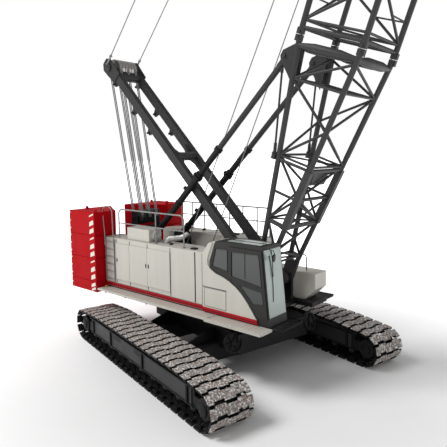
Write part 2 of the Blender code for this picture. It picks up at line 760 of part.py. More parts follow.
def make_cabinets(upper):
    """Build both cabinets, their doors and the engine."""
    seams = list(zip(DOOR_SEAMS, DOOR_SEAMS[1:]))
    make_cabinet("right_cabinet", upper, -1, seams)
    make_cabinet("left_cabinet", upper, 1, seams[2:])
    for label, (rear, front), at_front in zip(("rear", "middle", "front"), seams, (True, False, True)):
        make_cabinet_door(f"right_{label}_door", upper, -1, rear, front, at_front)
    make_cabinet_door("left_door", upper, 1, *seams[2], True)
    middle = -(CABINET_INNER + CABINET_OUTER) / 2
    floor = HOUSE_BOTTOM + CABINET_WALL + SEAT_GAP
    engine = Shape().box(
        (ENGINE_REAR, middle - ENGINE_WIDTH / 2, floor),
        (ENGINE_FRONT, middle + ENGINE_WIDTH / 2, floor + ENGINE_HEIGHT))
    part("engine_block", BLACK, upper, engine)
    roof = CABINET_TOP + SEAT_GAP
    box = Shape().box(
        (AIR_CLEANER_REAR, -AIR_CLEANER_OUTER, roof),
        (AIR_CLEANER_FRONT, -AIR_CLEANER_INNER, AIR_CLEANER_TOP))
    middle = -(AIR_CLEANER_INNER + AIR_CLEANER_OUTER) / 2
    level = (roof + AIR_CLEANER_TOP) / 2
    intake = Shape().rod(
        (AIR_CLEANER_FRONT - AIR_INTAKE_LENGTH, middle, level),
        (AIR_CLEANER_FRONT + AIR_INTAKE_LENGTH, middle, level),
        AIR_INTAKE_RADIUS)
    part("air_cleaner", CREAM, upper, box, intake)


def cab_outline():
    """Return the cab's side, from its rear bottom corner round to the front."""
    return [
        (CAB_REAR, HOUSE_BOTTOM), (CAB_FLOOR_FRONT, HOUSE_BOTTOM), (CAB_ROOF_FRONT, CAB_TOP),
        (CAB_REAR_ROOF, CAB_TOP), (CAB_REAR, CAB_SHOULDER)]


def front_line(level):
    """Return the X of the cab's sloping front at a height."""
    share = (level - HOUSE_BOTTOM) / (CAB_TOP - HOUSE_BOTTOM)
    return CAB_FLOOR_FRONT + (CAB_ROOF_FRONT - CAB_FLOOR_FRONT) * share


def windshield_outline(outside, inside, margin):
    """Return a strip of the sloping front, from outside the front face to inside it."""
    low = WINDSHIELD_BOTTOM + margin
    high = WINDSHIELD_TOP - margin
    return [
        (front_line(low) - inside, low), (front_line(low) + outside, low),
        (front_line(high) + outside, high), (front_line(high) - inside, high)]


def make_cab(upper):
    """Build the operator's cab with its door, glass and seat."""
    base = Shape().prism(cab_outline(), "xz", -CAB_OUTER, -CAB_INNER)
    cut = Shape().prism(inset(cab_outline(), CAB_WALL), "xz", -CAB_OUTER + CAB_WALL, -CAB_INNER - CAB_WALL)
    outside = (-CAB_OUTER - CAB_WALL, -CAB_OUTER + 2 * CAB_WALL)
    cut.prism(inset(CAB_DOOR_OUTLINE, CAB_DOOR_RIM + 0.01), "xz", *outside)
    cut.prism(REAR_WINDOW, "xz", *outside)
    cut.prism(LEFT_WINDOW, "xz", -CAB_INNER - 2 * CAB_WALL, -CAB_INNER + CAB_WALL)
    margin = WINDSHIELD_MARGIN + CAB_WALL
    cut.prism(windshield_outline(CAB_WALL, 2 * CAB_WALL, 0.0), "xz", -CAB_OUTER + margin,
        -CAB_INNER - margin)
    cut.box(
        (ROOF_WINDOW_REAR, -CAB_OUTER + 2 * margin, CAB_TOP - 2 * CAB_WALL),
        (ROOF_WINDOW_FRONT, -CAB_INNER - 2 * margin, CAB_TOP + CAB_WALL))
    part("cab_shell", CHARCOAL, upper, base, cut=cut)

    pane = Shape().prism(
        windshield_outline(0.0, GLASS_THICKNESS, SEAT_GAP), "xz",
        -CAB_OUTER + margin + SEAT_GAP, -CAB_INNER - margin - SEAT_GAP)
    part("windshield", GLASS, upper, pane)

    inner = -CAB_OUTER - SEAT_GAP
    outer = inner - CAB_DOOR_THICKNESS
    hinge = (CAB_DOOR_OUTLINE[0][0], outer, CAB_DOOR_OUTLINE[0][1])
    door = Shape().prism(CAB_DOOR_OUTLINE, "xz", outer, inner)
    windows = Shape()
    for window in (DOOR_WINDOW, DOOR_LOW_WINDOW):
        windows.prism(window, "xz", outer - CAB_WALL, inner + CAB_WALL)
    part("cab_door", CHARCOAL, upper, door, cut=windows, origin=hinge)
    middle = (inner + outer) / 2
    for label, window in (("door_window", DOOR_WINDOW), ("door_low_window", DOOR_LOW_WINDOW)):
        glass = Shape().prism(
            inset(window, SEAT_GAP), "xz", middle - GLASS_THICKNESS / 2, middle + GLASS_THICKNESS / 2)
        part(label, GLASS, upper, glass, origin=hinge)

    floor = HOUSE_BOTTOM + CAB_WALL + SEAT_GAP
    line = -(CAB_OUTER + CAB_INNER) / 2
    cushion = Shape().box(
        (SEAT_REAR, line - SEAT_WIDTH / 2, floor),
        (SEAT_FRONT, line + SEAT_WIDTH / 2, floor + SEAT_HEIGHT))
    back = Shape().box(
        (SEAT_REAR - SEAT_BACK_THICKNESS / 2, line - SEAT_WIDTH / 2 + CAB_WALL, floor + SEAT_HEIGHT / 2),
        (SEAT_REAR + SEAT_BACK_THICKNESS, line + SEAT_WIDTH / 2 - CAB_WALL, floor + SEAT_BACK_HEIGHT))
    part("operator_seat", FABRIC, upper, cushion, back)


def make_deck_equipment(upper):
    """Build the walkways, the roof handrails and the front box."""
    for label, side in (("right", -1), ("left", 1)):
        low, high = sorted((side * (DECK_HALF_WIDTH + SEAT_GAP), side * (DECK_HALF_WIDTH + WALKWAY_WIDTH)))
        top = DECK_TOP - WALKWAY_DROP
        front = WALKWAY_FRONT if side < 0 else LEFT_WING_FRONT
        walkway = Shape().box((WALKWAY_REAR, low, top - WALKWAY_THICKNESS), (front, high, top))
        part(f"{label}_walkway", CREAM, upper, walkway)

    roof = CABINET_TOP + SEAT_GAP
    for label, line, posts in (
            ("right", -RIGHT_RAIL_LINE, RIGHT_RAIL_POSTS), ("left", LEFT_RAIL_LINE, LEFT_RAIL_POSTS)):
        rail = Shape().rod((posts[0], line, RAIL_TOP), (posts[-1], line, RAIL_TOP), RAIL_RADIUS,
            RAIL_SIDES)
        rest = Shape()
        rest.rod((posts[0], line, RAIL_MIDDLE), (posts[-1], line, RAIL_MIDDLE), RAIL_RADIUS * 0.8,
            RAIL_SIDES)
        for place in posts:
            rest.rod((place, line, roof), (place, line, RAIL_TOP + RAIL_RADIUS / 2), RAIL_RADIUS * 1.15,
                RAIL_SIDES)
        part(f"{label}_handrail", CREAM, upper, rail, rest)

    chamfer = FRONT_BOX_CHAMFER
    outline = [
        (FRONT_BOX_REAR, HOUSE_BOTTOM), (FRONT_BOX_FRONT - chamfer, HOUSE_BOTTOM),
        (FRONT_BOX_FRONT, HOUSE_BOTTOM + chamfer), (FRONT_BOX_FRONT, FRONT_BOX_TOP),
        (FRONT_BOX_REAR, FRONT_BOX_TOP)]
    part("front_left_box", CREAM, upper, Shape().prism(outline, "xz", FRONT_BOX_INNER, FRONT_BOX_OUTER))


def make_winch(name, upper, x, z, drum_radius, flange_radius):
    """Build one rope drum with its flanges and stands."""
    half = WINCH_HALF_WIDTH
    drum = Shape().rod((x, -half, z), (x, half, z), drum_radius)
    rest = Shape()
    for side in (-1, 1):
        rest.rod(
            (x, side * (half - FLANGE_THICKNESS / 2), z), (x, side * (half + FLANGE_THICKNESS), z),
            flange_radius)
        low, high = sorted((side * (half + FLANGE_THICKNESS / 2),
            side * (half + FLANGE_THICKNESS + WINCH_STAND)))
        rest.box((x - drum_radius * 0.9, low, HOUSE_BOTTOM),
            (x + drum_radius * 0.9, high, z + drum_radius * 0.5))
    part(name, DARK_FRAME, upper, drum, rest)


def make_counterweights(upper):
    """Build the two stacks of counterweight slabs, each on its tray."""
    for label, side in (("right", -1), ("left", 1)):
        outline = [
            (STACK_FRONT, side * STACK_OUTER), (STACK_REAR, side * STACK_OUTER),
            (STACK_REAR, side * STACK_INNER_REAR),
            (STACK_SHOULDER[0], side * STACK_SHOULDER[1]), (STACK_FRONT, side * STACK_INNER_FRONT)]
        level = TRAY_BOTTOM
        tray = Shape().prism(outline, "xy", level, level + TRAY_HEIGHT)
        part(f"{label}_counterweight_tray", RED, upper, tray)
        level += TRAY_HEIGHT
        for number in range(1, SLAB_COUNT + 1):
            slab = Shape().prism(outline, "xy", level + SEAT_GAP, level + SLAB_HEIGHT)
            part(f"{label}_counterweight_{number}", RED, upper, slab)
            level += SLAB_HEIGHT


def chord_places(x, half_depth, half_width):
    """Return the four chord centres of a boom section, in order round it."""
    return [
        Vector((x, -half_width, half_depth)), Vector((x, half_width, half_depth)),
        Vector((x, half_width, -half_depth)), Vector((x, -half_width, -half_depth))]


def add_lacing(shape, size_at, start, end, bays):
    """Add zigzag lacing on the four faces of a boom section."""
    for bay in range(bays):
        near = start + (end - start) * bay / bays + LACING_STAGGER
        far = start + (end - start) * (bay + 1) / bays - LACING_STAGGER
        if bay % 2:
            near, far = far, near
        here = chord_places(near, *size_at(near))
        there = chord_places(far, *size_at(far))
        for corner in range(4):
            across = (corner + 1) % 4
            if corner % 2:
                shape.rod(here[across], there[corner], LACING_RADIUS, LACING_SIDES, LACING_TWIST)
            else:
                shape.rod(here[corner], there[across], LACING_RADIUS, LACING_SIDES, LACING_TWIST)


def add_end_frame(shape, x, half_depth, half_width, size):
    """Add the four heavy battens that close a boom section."""
    places = chord_places(x, half_depth, half_width)
    for corner in range(4):
        shape.bar(places[corner], places[(corner + 1) % 4], size, size * 0.8)


def add_chords(shape, size_at, stations, indices):
    """Add some of the chords through their stations."""
    for first, second in zip(stations, stations[1:]):
        near = chord_places(first, *size_at(first))
        far = chord_places(second, *size_at(second))
        for index in indices:
            shape.rod(near[index], far[index], CHORD_RADIUS, CHORD_SIDES, CHORD_TWIST)


def butt_size(x):
    """Return the half depth and half width between chords of the tapered butt."""
    share = x / BUTT_LENGTH
    return BOOM_HALF_DEPTH * share, BOOM_LUG_CENTRE + (BOOM_HALF_WIDTH - BOOM_LUG_CENTRE) * share


def full_size(_x):
    """Return the half depth and half width of a parallel section."""
    return BOOM_HALF_DEPTH, BOOM_HALF_WIDTH


def top_size(x):
    """Return the half depth and half width of the top section, which tapers to the head."""
    share = max(0.0, (x - TOP_START - TOP_TAPER_START) / (TOP_LENGTH - TOP_TAPER_START))
    return (
        BOOM_HALF_DEPTH + (HEAD_HALF_DEPTH - BOOM_HALF_DEPTH) * share,
        BOOM_HALF_WIDTH + (HEAD_HALF_WIDTH - BOOM_HALF_WIDTH) * share)


def make_butt(boom):
    """Build the boom's foot section with the lugs for its pins and for the backstops."""
    end = BUTT_LENGTH - END_FRAME / 2
    base = Shape().rod(
        chord_places(0.5, *butt_size(0.5))[0], chord_places(end, *butt_size(end))[0], CHORD_RADIUS,
        CHORD_SIDES, CHORD_TWIST)
    joined = Shape()
    add_chords(joined, butt_size, (0.5, end), (1, 2, 3))
    add_lacing(joined, butt_size, BUTT_LACING_START, end - END_FRAME, BUTT_BAYS)
    add_end_frame(joined, end, *butt_size(end), END_FRAME)
    add_end_frame(joined, BUTT_LACING_START, *butt_size(BUTT_LACING_START), END_FRAME)
    edge = CHORD_RADIUS + BOOM_HALF_DEPTH * FOOT_PLATE_LENGTH / BUTT_LENGTH
    foot = [
        (0.0, -BOOM_EYE_RADIUS), (FOOT_PLATE_LENGTH, -edge), (FOOT_PLATE_LENGTH, edge),
        (0.0, BOOM_EYE_RADIUS),
        (-BOOM_EYE_RADIUS * 0.7, BOOM_EYE_RADIUS * 0.7), (-BOOM_EYE_RADIUS, 0.0),
        (-BOOM_EYE_RADIUS * 0.7, -BOOM_EYE_RADIUS * 0.7)]
    plate_pair(joined, foot, BOOM_LUG_INNER, BOOM_LUG_OUTER)
    eye_level = BOOM_HALF_DEPTH + BACKSTOP_STANDOFF
    length = BACKSTOP_LUG_HALF_LENGTH
    lug = [
        (BACKSTOP_STATION - length, BOOM_HALF_DEPTH - CHORD_RADIUS), (end - 0.02, BOOM_HALF_DEPTH - 0.01),
        (BACKSTOP_STATION + 0.1, eye_level + 0.1), (BACKSTOP_STATION - 0.1, eye_level + 0.1)]
    inner = BACKSTOP_LINE + ROD_HEAD_HALF_WIDTH + SEAT_GAP
    plate_pair(joined, lug, inner, inner + BACKSTOP_LUG_THICKNESS)
    bores = Shape()
    for side in (-1, 1):
        bores.prism(
            disc((0, 0), BOOM_PIN_RADIUS + RUNNING_CLEARANCE, PIN_SIDES), "xz",
            side * BOOM_LUG_CENTRE - BOOM_LUG_INNER / 4, side * BOOM_LUG_CENTRE + BOOM_LUG_INNER / 4)
    part("boom_butt", DARK_FRAME, boom, base, joined, bores)


def make_insert(boom):
    """Build the parallel section above the butt."""
    first = INSERT_START + END_FRAME_RECESS + END_FRAME / 2
    last = INSERT_END - END_FRAME_RECESS - END_FRAME / 2
    base = Shape().rod(
        chord_places(INSERT_START, *full_size(0))[0], chord_places(INSERT_END, *full_size(0))[0],
        CHORD_RADIUS, CHORD_SIDES, CHORD_TWIST)
    joined = Shape()
    add_chords(joined, full_size, (INSERT_START, INSERT_END), (1, 2, 3))
    add_lacing(joined, full_size, first + END_FRAME, last - END_FRAME, INSERT_BAYS)
    add_end_frame(joined, first, *full_size(0), END_FRAME)
    add_end_frame(joined, last, *full_size(0), END_FRAME)
    part("boom_insert", DARK_FRAME, boom, base, joined)


def make_top(boom):
    """Build the top section, its head plates and its sheaves."""
    knee = TOP_START + TOP_TAPER_START
    first = TOP_START + END_FRAME_RECESS + END_FRAME / 2
    last = TOP_END - END_FRAME_RECESS - END_FRAME / 2
    base = Shape().rod(
        chord_places(TOP_START, *full_size(0))[0], chord_places(knee, *full_size(0))[0], CHORD_RADIUS,
        CHORD_SIDES, CHORD_TWIST)
    joined = Shape()
    add_chords(joined, top_size, (TOP_START, knee), (1, 2, 3))
    add_chords(joined, top_size, (knee - CHORD_RADIUS / 2, TOP_END), (0, 1, 2, 3))
    add_lacing(joined, top_size, first + END_FRAME, last - END_FRAME, TOP_BAYS)
    add_end_frame(joined, first, *full_size(0), END_FRAME)
    add_end_frame(joined, last, *top_size(last), END_FRAME)
    sheave_x, sheave_z = SHEAVE_CENTRE
    plate = [
        (TOP_END - 0.55, -HEAD_HALF_DEPTH - 0.05), (sheave_x - 0.1, sheave_z - 0.16),
        (sheave_x + 0.1, sheave_z - 0.14),
        (sheave_x + 0.16, sheave_z + 0.05), (sheave_x + 0.02, sheave_z + 0.2),
        (TOP_END, HEAD_HALF_DEPTH + 0.05),
        (TOP_END - 0.3, HEAD_HALF_DEPTH + 0.05)]
    inner = SHEAVE_HALF_STACK + SEAT_GAP
    plate_pair(joined, plate, inner, HEAD_HALF_WIDTH + HEAD_PLATE)
    lug = [
        (PENDANT_BOOM_STATION - 0.35, HEAD_HALF_DEPTH - 0.05),
        (PENDANT_BOOM_STATION + 0.2, HEAD_HALF_DEPTH - 0.05),
        (PENDANT_BOOM_STATION + 0.08, HEAD_HALF_DEPTH + PENDANT_STANDOFF + 0.07),
        (PENDANT_BOOM_STATION - 0.08, HEAD_HALF_DEPTH + PENDANT_STANDOFF + 0.07)]
    plate_pair(joined, lug, HEAD_HALF_WIDTH - CHORD_RADIUS / 2, PENDANT_LINE - PENDANT_RADIUS - SEAT_GAP)
    part("boom_top", DARK_FRAME, boom, base, joined)
    make_sheaves(
        "boom_tip_sheaves", boom, SHEAVE_CENTRE, SHEAVE_RADIUS, SHEAVE_HALF_STACK, SHEAVE_COUNT,
        -math.radians(BOOM_ANGLE))


def make_sheaves(name, parent, centre, radius, half_stack, count, start=0.0):
    """Build a stack of grooved sheaves on one shaft, with a corner at the start angle."""
    profile = [(0.0, -half_stack)]
    pitch = 2 * half_stack / count
    for index in range(count):
        edge = -half_stack + pitch * index
        profile += [(radius, edge), (radius - GROOVE_DEPTH, edge + pitch / 2)]
    profile += [(radius, half_stack), (0.0, half_stack)]
    shape = Shape()
    mesh = shape.mesh
    rings = []
    for distance, across in profile[1:-1]:
        rings.append([
            mesh.verts.new((x, across, z)) for x, z in disc(centre, distance, TUBE_SIDES, start)])
    for near, far in zip(rings, rings[1:]):
        for index in range(TUBE_SIDES):
            following = (index + 1) % TUBE_SIDES
            mesh.faces.new((near[index], near[following], far[following], far[index]))
    mesh.faces.new(rings[0])
    mesh.faces.new(rings[-1])
    bmesh.ops.recalc_face_normals(mesh, faces=mesh.faces)
    part(name, BARE_STEEL, parent, shape)


def mast_head_in_boom():
    """Return the mast head's place along and across the boom, at rest."""
    mast = math.radians(MAST_ANGLE)
    boom = math.radians(BOOM_ANGLE)
    x = MAST_PIVOT[0] + MAST_LENGTH * math.cos(mast) - BOOM_PIVOT[0]
    z = MAST_PIVOT[1] + MAST_LENGTH * math.sin(mast) - BOOM_PIVOT[1]
    return x * math.cos(boom) + z * math.sin(boom), -x * math.sin(boom) + z * math.cos(boom)


def make_pendants(boom):
    """Build the two taut pendants between the boom head and the mast head."""
    head_x, head_z = mast_head_in_boom()
    far = (PENDANT_BOOM_STATION, HEAD_HALF_DEPTH + PENDANT_STANDOFF)
    for label, side in (("right", -1), ("left", 1)):
        line = side * PENDANT_LINE
        pendant = Shape().rod((head_x, line, head_z), (far[0], line, far[1]), PENDANT_RADIUS, RAIL_SIDES)
        eye = Shape().prism(
            disc(far, PENDANT_EYE_RADIUS, TUBE_SIDES), "xz", line - PENDANT_RADIUS, line + PENDANT_RADIUS)
        part(f"{label}_pendant", ROPE_STEEL, boom, pendant, eye)


def make_mast(mast):
    """Build the live mast's two legs, their cross tubes and the head sheaves."""
    half = MAST_LEG_DEPTH / 2
    outline = [
        (-MAST_EYE_RADIUS, 0.0), (-MAST_EYE_RADIUS * 0.7, -MAST_EYE_RADIUS * 0.7), (0.0, -MAST_EYE_RADIUS),
        (MAST_FOOT_TAPER, -half), (MAST_LENGTH, -half), (MAST_LENGTH + half, 0.0), (MAST_LENGTH, half),
        (MAST_FOOT_TAPER, half), (0.0, MAST_EYE_RADIUS), (-MAST_EYE_RADIUS * 0.7, MAST_EYE_RADIUS * 0.7)]
    base = Shape().prism(outline, "xz", -MAST_LEG_OUTER, -MAST_LEG_INNER)
    joined = Shape().prism(outline, "xz", MAST_LEG_INNER, MAST_LEG_OUTER)
    middle = (MAST_LEG_INNER + MAST_LEG_OUTER) / 2
    shaft_x = MAST_LENGTH - MAST_SHEAVE_RADIUS - 2 * MAST_CROSS_RADIUS
    for station in (MAST_CROSS_STATION, shaft_x):
        joined.rod((station, -middle, 0), (station, middle, 0), MAST_CROSS_RADIUS)
    gussets = Shape()
    for side in (-1, 1):
        edge = side * (MAST_LEG_INNER + 0.04)
        tip = side * (MAST_LEG_INNER - MAST_GUSSET_REACH)
        gusset = [
            (MAST_CROSS_STATION - MAST_GUSSET_LENGTH, edge), (MAST_CROSS_STATION, tip),
            (MAST_CROSS_STATION + MAST_GUSSET_LENGTH, edge)]
        gussets.prism(gusset, "xy", -MAST_GUSSET_THICKNESS / 2, MAST_GUSSET_THICKNESS / 2)
    bores = Shape().prism(
        disc((0, 0), MAST_PIN_RADIUS + RUNNING_CLEARANCE, PIN_SIDES), "xz", -2 * MAST_LEG_OUTER,
        2 * MAST_LEG_OUTER)
    frame = part("mast_frame", DARK_FRAME, mast, base, joined)
    combine(frame, "mast_frame_gussets", gussets, "UNION")
    combine(frame, "mast_frame_bores", bores, "DIFFERENCE")
    make_sheaves(
        "mast_head_sheaves", mast, (MAST_LENGTH - 0.1, 0.0), MAST_SHEAVE_RADIUS, MAST_LEG_INNER - SEAT_GAP,
        MAST_SHEAVE_COUNT)


def backstop_eye():
    """Return the boom's backstop eye, in the upperworks' X and Z, at rest."""
    angle = math.radians(BOOM_ANGLE)
    level = BOOM_HALF_DEPTH + BACKSTOP_STANDOFF
    return (
        BOOM_PIVOT[0] + BACKSTOP_STATION * math.cos(angle) - level * math.sin(angle),
        BOOM_PIVOT[1] + BACKSTOP_STATION * math.sin(angle) + level * math.cos(angle))


def make_backstops(upper):
    """Build the telescopic backstops between the deck posts and the boom's butt."""
    eye_x, eye_z = backstop_eye()
    run_x = eye_x - BACKSTOP_PIVOT[0]
    run_z = eye_z - BACKSTOP_PIVOT[1]
    length = math.hypot(run_x, run_z)
    angle = math.degrees(math.atan2(run_z, run_x))
    place = (BACKSTOP_PIVOT[0], 0, BACKSTOP_PIVOT[1])
    frame = pivot("backstop_pivot", upper, place, angle)
    for label, side in (("right", -1), ("left", 1)):
        line = side * BACKSTOP_LINE
        eye = BACKSTOP_EYE_HALF_WIDTH
        base = Shape().rod((0, line, 0), (BARREL_LENGTH, line, 0), BARREL_NECK_RADIUS)
        joined = Shape().rod((0.08, line, 0), (BARREL_NECK_START, line, 0), BARREL_RADIUS)
        joined.prism(disc((0, 0), BACKSTOP_EYE_RADIUS, PIN_SIDES), "xz", line - eye, line + eye)
        cut = Shape().rod(
            (BARREL_BORE_START, line, 0), (BARREL_LENGTH + 0.1, line, 0), ROD_RADIUS + SEAT_GAP)
        cut.prism(
            disc((0, 0), BACKSTOP_PIN_RADIUS + RUNNING_CLEARANCE, PIN_SIDES), "xz", line - 2 * eye,
            line + 2 * eye)
        part(f"{label}_backstop_barrel", BLACK, frame, base, joined, cut)
        tip = Shape().rod((ROD_START, line, 0), (length, line, 0), ROD_RADIUS)
        head = Shape().prism(
            disc((length, 0), BACKSTOP_EYE_RADIUS, PIN_SIDES, 0.05), "xz", line - ROD_HEAD_HALF_WIDTH,
            line + ROD_HEAD_HALF_WIDTH)
        part(f"{label}_backstop_rod", BLACK, frame, tip, head)


def make_hook(hook):
    """Build the hook block, the hook and the rope falls that carry them."""
    pitch = 2 * SHEAVE_HALF_STACK / SHEAVE_COUNT
    flank = math.hypot(pitch / 2, GROOVE_DEPTH) / (pitch / 2)
    reach = SHEAVE_RADIUS - GROOVE_DEPTH + FALL_RADIUS * flank + SEAT_GAP
    yoke_top = -FALL_LENGTH
    yoke = Shape().box(
        (reach - BLOCK_DEPTH / 4, -BLOCK_WIDTH / 2, yoke_top - YOKE_HEIGHT),
        (reach + BLOCK_DEPTH / 4, BLOCK_WIDTH / 2, yoke_top))
    falls = Shape()
    for index in range(FALL_COUNT):
        line = -SHEAVE_HALF_STACK + pitch * (index + 0.5)
        falls.rod((reach, line, yoke_top - YOKE_HEIGHT / 2), (reach, line, 0), FALL_RADIUS, TUBE_SIDES)
    part("hoist_falls", ROPE_STEEL, hook, yoke, falls)
    top = yoke_top - YOKE_HEIGHT - SEAT_GAP
    bottom = top - BLOCK_HEIGHT
    depth = BLOCK_DEPTH / 2
    outline = [
        (reach - depth * 0.5, bottom), (reach + depth * 0.5, bottom), (reach + depth, bottom + 0.2),
        (reach + depth, top - 0.12), (reach + depth * 0.6, top), (reach - depth * 0.6, top),
        (reach - depth, top - 0.12), (reach - depth, bottom + 0.2)]
    part("hook_block", DARK_FRAME, hook, Shape().prism(outline, "xz", -BLOCK_WIDTH / 2, BLOCK_WIDTH / 2))
    start = bottom - SEAT_GAP
    points = [(reach, 0, start), (reach, 0, start - HOOK_SHANK_LENGTH / 2)]
    radii = [HOOK_SHANK_RADIUS, HOOK_SHANK_RADIUS]
    centre = start - HOOK_SHANK_LENGTH - HOOK_THROAT_RADIUS
    for step in range(HOOK_STEPS + 1):
        angle = math.radians(HOOK_START_ANGLE) - math.radians(HOOK_SWEEP) * step / HOOK_STEPS
        points.append(
            (reach + HOOK_THROAT_RADIUS * math.cos(angle), 0,
            centre + HOOK_THROAT_RADIUS * math.sin(angle)))
        radii.append(HOOK_STOCK_RADIUS * (1.3 - 0.8 * abs(2 * step / HOOK_STEPS - 1)))
    part("hook", DARK_FRAME, hook, add_bent_bar(Shape(), points, radii, 8))


def centre_over_origin(root):
    """Move the whole crane so that its bounding box stands centred over the origin."""
    depsgraph = bpy.context.evaluated_depsgraph_get()
    low = Vector((math.inf,) * 3)
    high = Vector((-math.inf,) * 3)
    for item in bpy.context.scene.objects:
        if item.type != "MESH" or item.hide_render:
            continue
        evaluated = item.evaluated_get(depsgraph)
        mesh = evaluated.to_mesh()
        for vertex in mesh.vertices:
            place = evaluated.matrix_world @ vertex.co
            low = Vector(map(min, low, place))
            high = Vector(map(max, high, place))
        evaluated.to_mesh_clear()
    root.location = (-(low.x + high.x) / 2, -(low.y + high.y) / 2, -low.z)


def main():
    """Build the crane."""
    for item in list(bpy.data.objects):
        bpy.data.objects.remove(item)
    root = pivot("crane", None, (0, 0, 0))
    make_undercarriage(root)
    upper = pivot("slew_pivot", root, (0, 0, 0), angle_about_z=SLEW_ANGLE)
    make_upper_frame(upper)
    make_cabinets(upper)
    make_cab(upper)
    make_deck_equipment(upper)
    make_winch("main_winch", upper, MAIN_WINCH_X, MAIN_WINCH_Z, MAIN_DRUM_RADIUS, MAIN_FLANGE_RADIUS)
    make_winch("boom_hoist_winch", upper, HOIST_WINCH_X, HOIST_WINCH_Z, HOIST_DRUM_RADIUS,
        HOIST_FLANGE_RADIUS)
    make_counterweights(upper)
    boom = pivot("boom_pivot", upper, (BOOM_PIVOT[0], 0, BOOM_PIVOT[1]), BOOM_ANGLE)
    make_butt(boom)
    make_insert(boom)
    make_top(boom)
    make_pendants(boom)
    mast = pivot("mast_pivot", upper, (MAST_PIVOT[0], 0, MAST_PIVOT[1]), MAST_ANGLE)
    make_mast(mast)
    make_backstops(upper)
    hook = pivot("hook_pivot", boom, (SHEAVE_CENTRE[0], 0, SHEAVE_CENTRE[1]), -BOOM_ANGLE)
    make_hook(hook)
    bpy.context.view_layer.update()
    centre_over_origin(root)
    bpy.context.view_layer.update()


main()
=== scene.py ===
"""Dresses the crawler crane: finishes for every part of the frame and the detail that rides on it."""

from __future__ import annotations

import json
import logging
import math
from collections.abc import Sequence
from dataclasses import dataclass, field
from enum import Enum

import bmesh
import bpy
import numpy as np
from mathutils import Matrix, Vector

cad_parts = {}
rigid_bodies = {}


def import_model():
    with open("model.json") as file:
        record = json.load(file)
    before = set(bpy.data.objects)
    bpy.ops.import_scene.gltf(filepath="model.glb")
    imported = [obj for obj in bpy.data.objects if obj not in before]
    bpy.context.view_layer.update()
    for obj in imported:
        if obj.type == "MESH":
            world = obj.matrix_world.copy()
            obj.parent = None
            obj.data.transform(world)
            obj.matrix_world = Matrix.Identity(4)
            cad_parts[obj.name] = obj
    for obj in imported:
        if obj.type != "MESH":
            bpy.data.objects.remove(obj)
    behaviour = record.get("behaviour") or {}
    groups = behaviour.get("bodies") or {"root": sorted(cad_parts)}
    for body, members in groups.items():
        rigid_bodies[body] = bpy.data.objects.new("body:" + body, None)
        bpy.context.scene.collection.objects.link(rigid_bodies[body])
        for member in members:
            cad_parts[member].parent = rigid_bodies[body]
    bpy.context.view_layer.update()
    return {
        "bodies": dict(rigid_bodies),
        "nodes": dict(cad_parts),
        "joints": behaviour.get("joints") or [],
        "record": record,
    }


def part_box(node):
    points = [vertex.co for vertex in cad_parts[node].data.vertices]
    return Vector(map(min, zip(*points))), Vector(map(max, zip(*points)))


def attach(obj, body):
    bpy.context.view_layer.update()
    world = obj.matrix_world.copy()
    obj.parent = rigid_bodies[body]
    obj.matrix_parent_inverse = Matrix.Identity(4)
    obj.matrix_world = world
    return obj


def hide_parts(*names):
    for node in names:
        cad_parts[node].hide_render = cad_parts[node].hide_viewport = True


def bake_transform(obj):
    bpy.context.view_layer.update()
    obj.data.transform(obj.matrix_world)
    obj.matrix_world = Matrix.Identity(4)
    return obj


LOG = logging.getLogger("crane")
Points = np.ndarray
Colour = tuple[float, float, float]
Outline = tuple[tuple[float, float], ...]

ALONG, ACROSS, UP = np.eye(3)


class Plane(Enum):
    """The plane in which a flat outline is drawn; it is drawn out along the axis left over."""

    XZ = (0, 2, 1)
    XY = (0, 1, 2)
    YZ = (1, 2, 0)


# --------------------------------------------------------------------------------------------
# Places
# --------------------------------------------------------------------------------------------


@dataclass(frozen=True)
class Placement:
    """A local frame: an origin, and a rotation whose columns are the local axes in the world."""

    origin: Points
    axes: Points

    def world(self, points: Points) -> Points:
        """Return local points as world points."""
        return self.origin + points @ self.axes.T

    def local(self, points: Points) -> Points:
        """Return world points as local points."""
        return (points - self.origin) @ self.axes

    def tilted(self, x: float, z: float, degrees: float) -> Placement:
        """Return a frame at local (x, 0, z) whose X axis climbs from this one's X by an angle.

        Args:
            x: place of the new origin along this frame's X.
            z: place of the new origin along this frame's Z.
            degrees: climb of the new X axis, towards this frame's Z.

        Returns:
            The new frame.
        """
        c, s = math.cos(math.radians(degrees)), math.sin(math.radians(degrees))
        turn = np.array([[c, 0.0, -s], [0.0, 1.0, 0.0], [s, 0.0, c]])
        return Placement(self.world(np.array([x, 0.0, z])), self.axes @ turn)


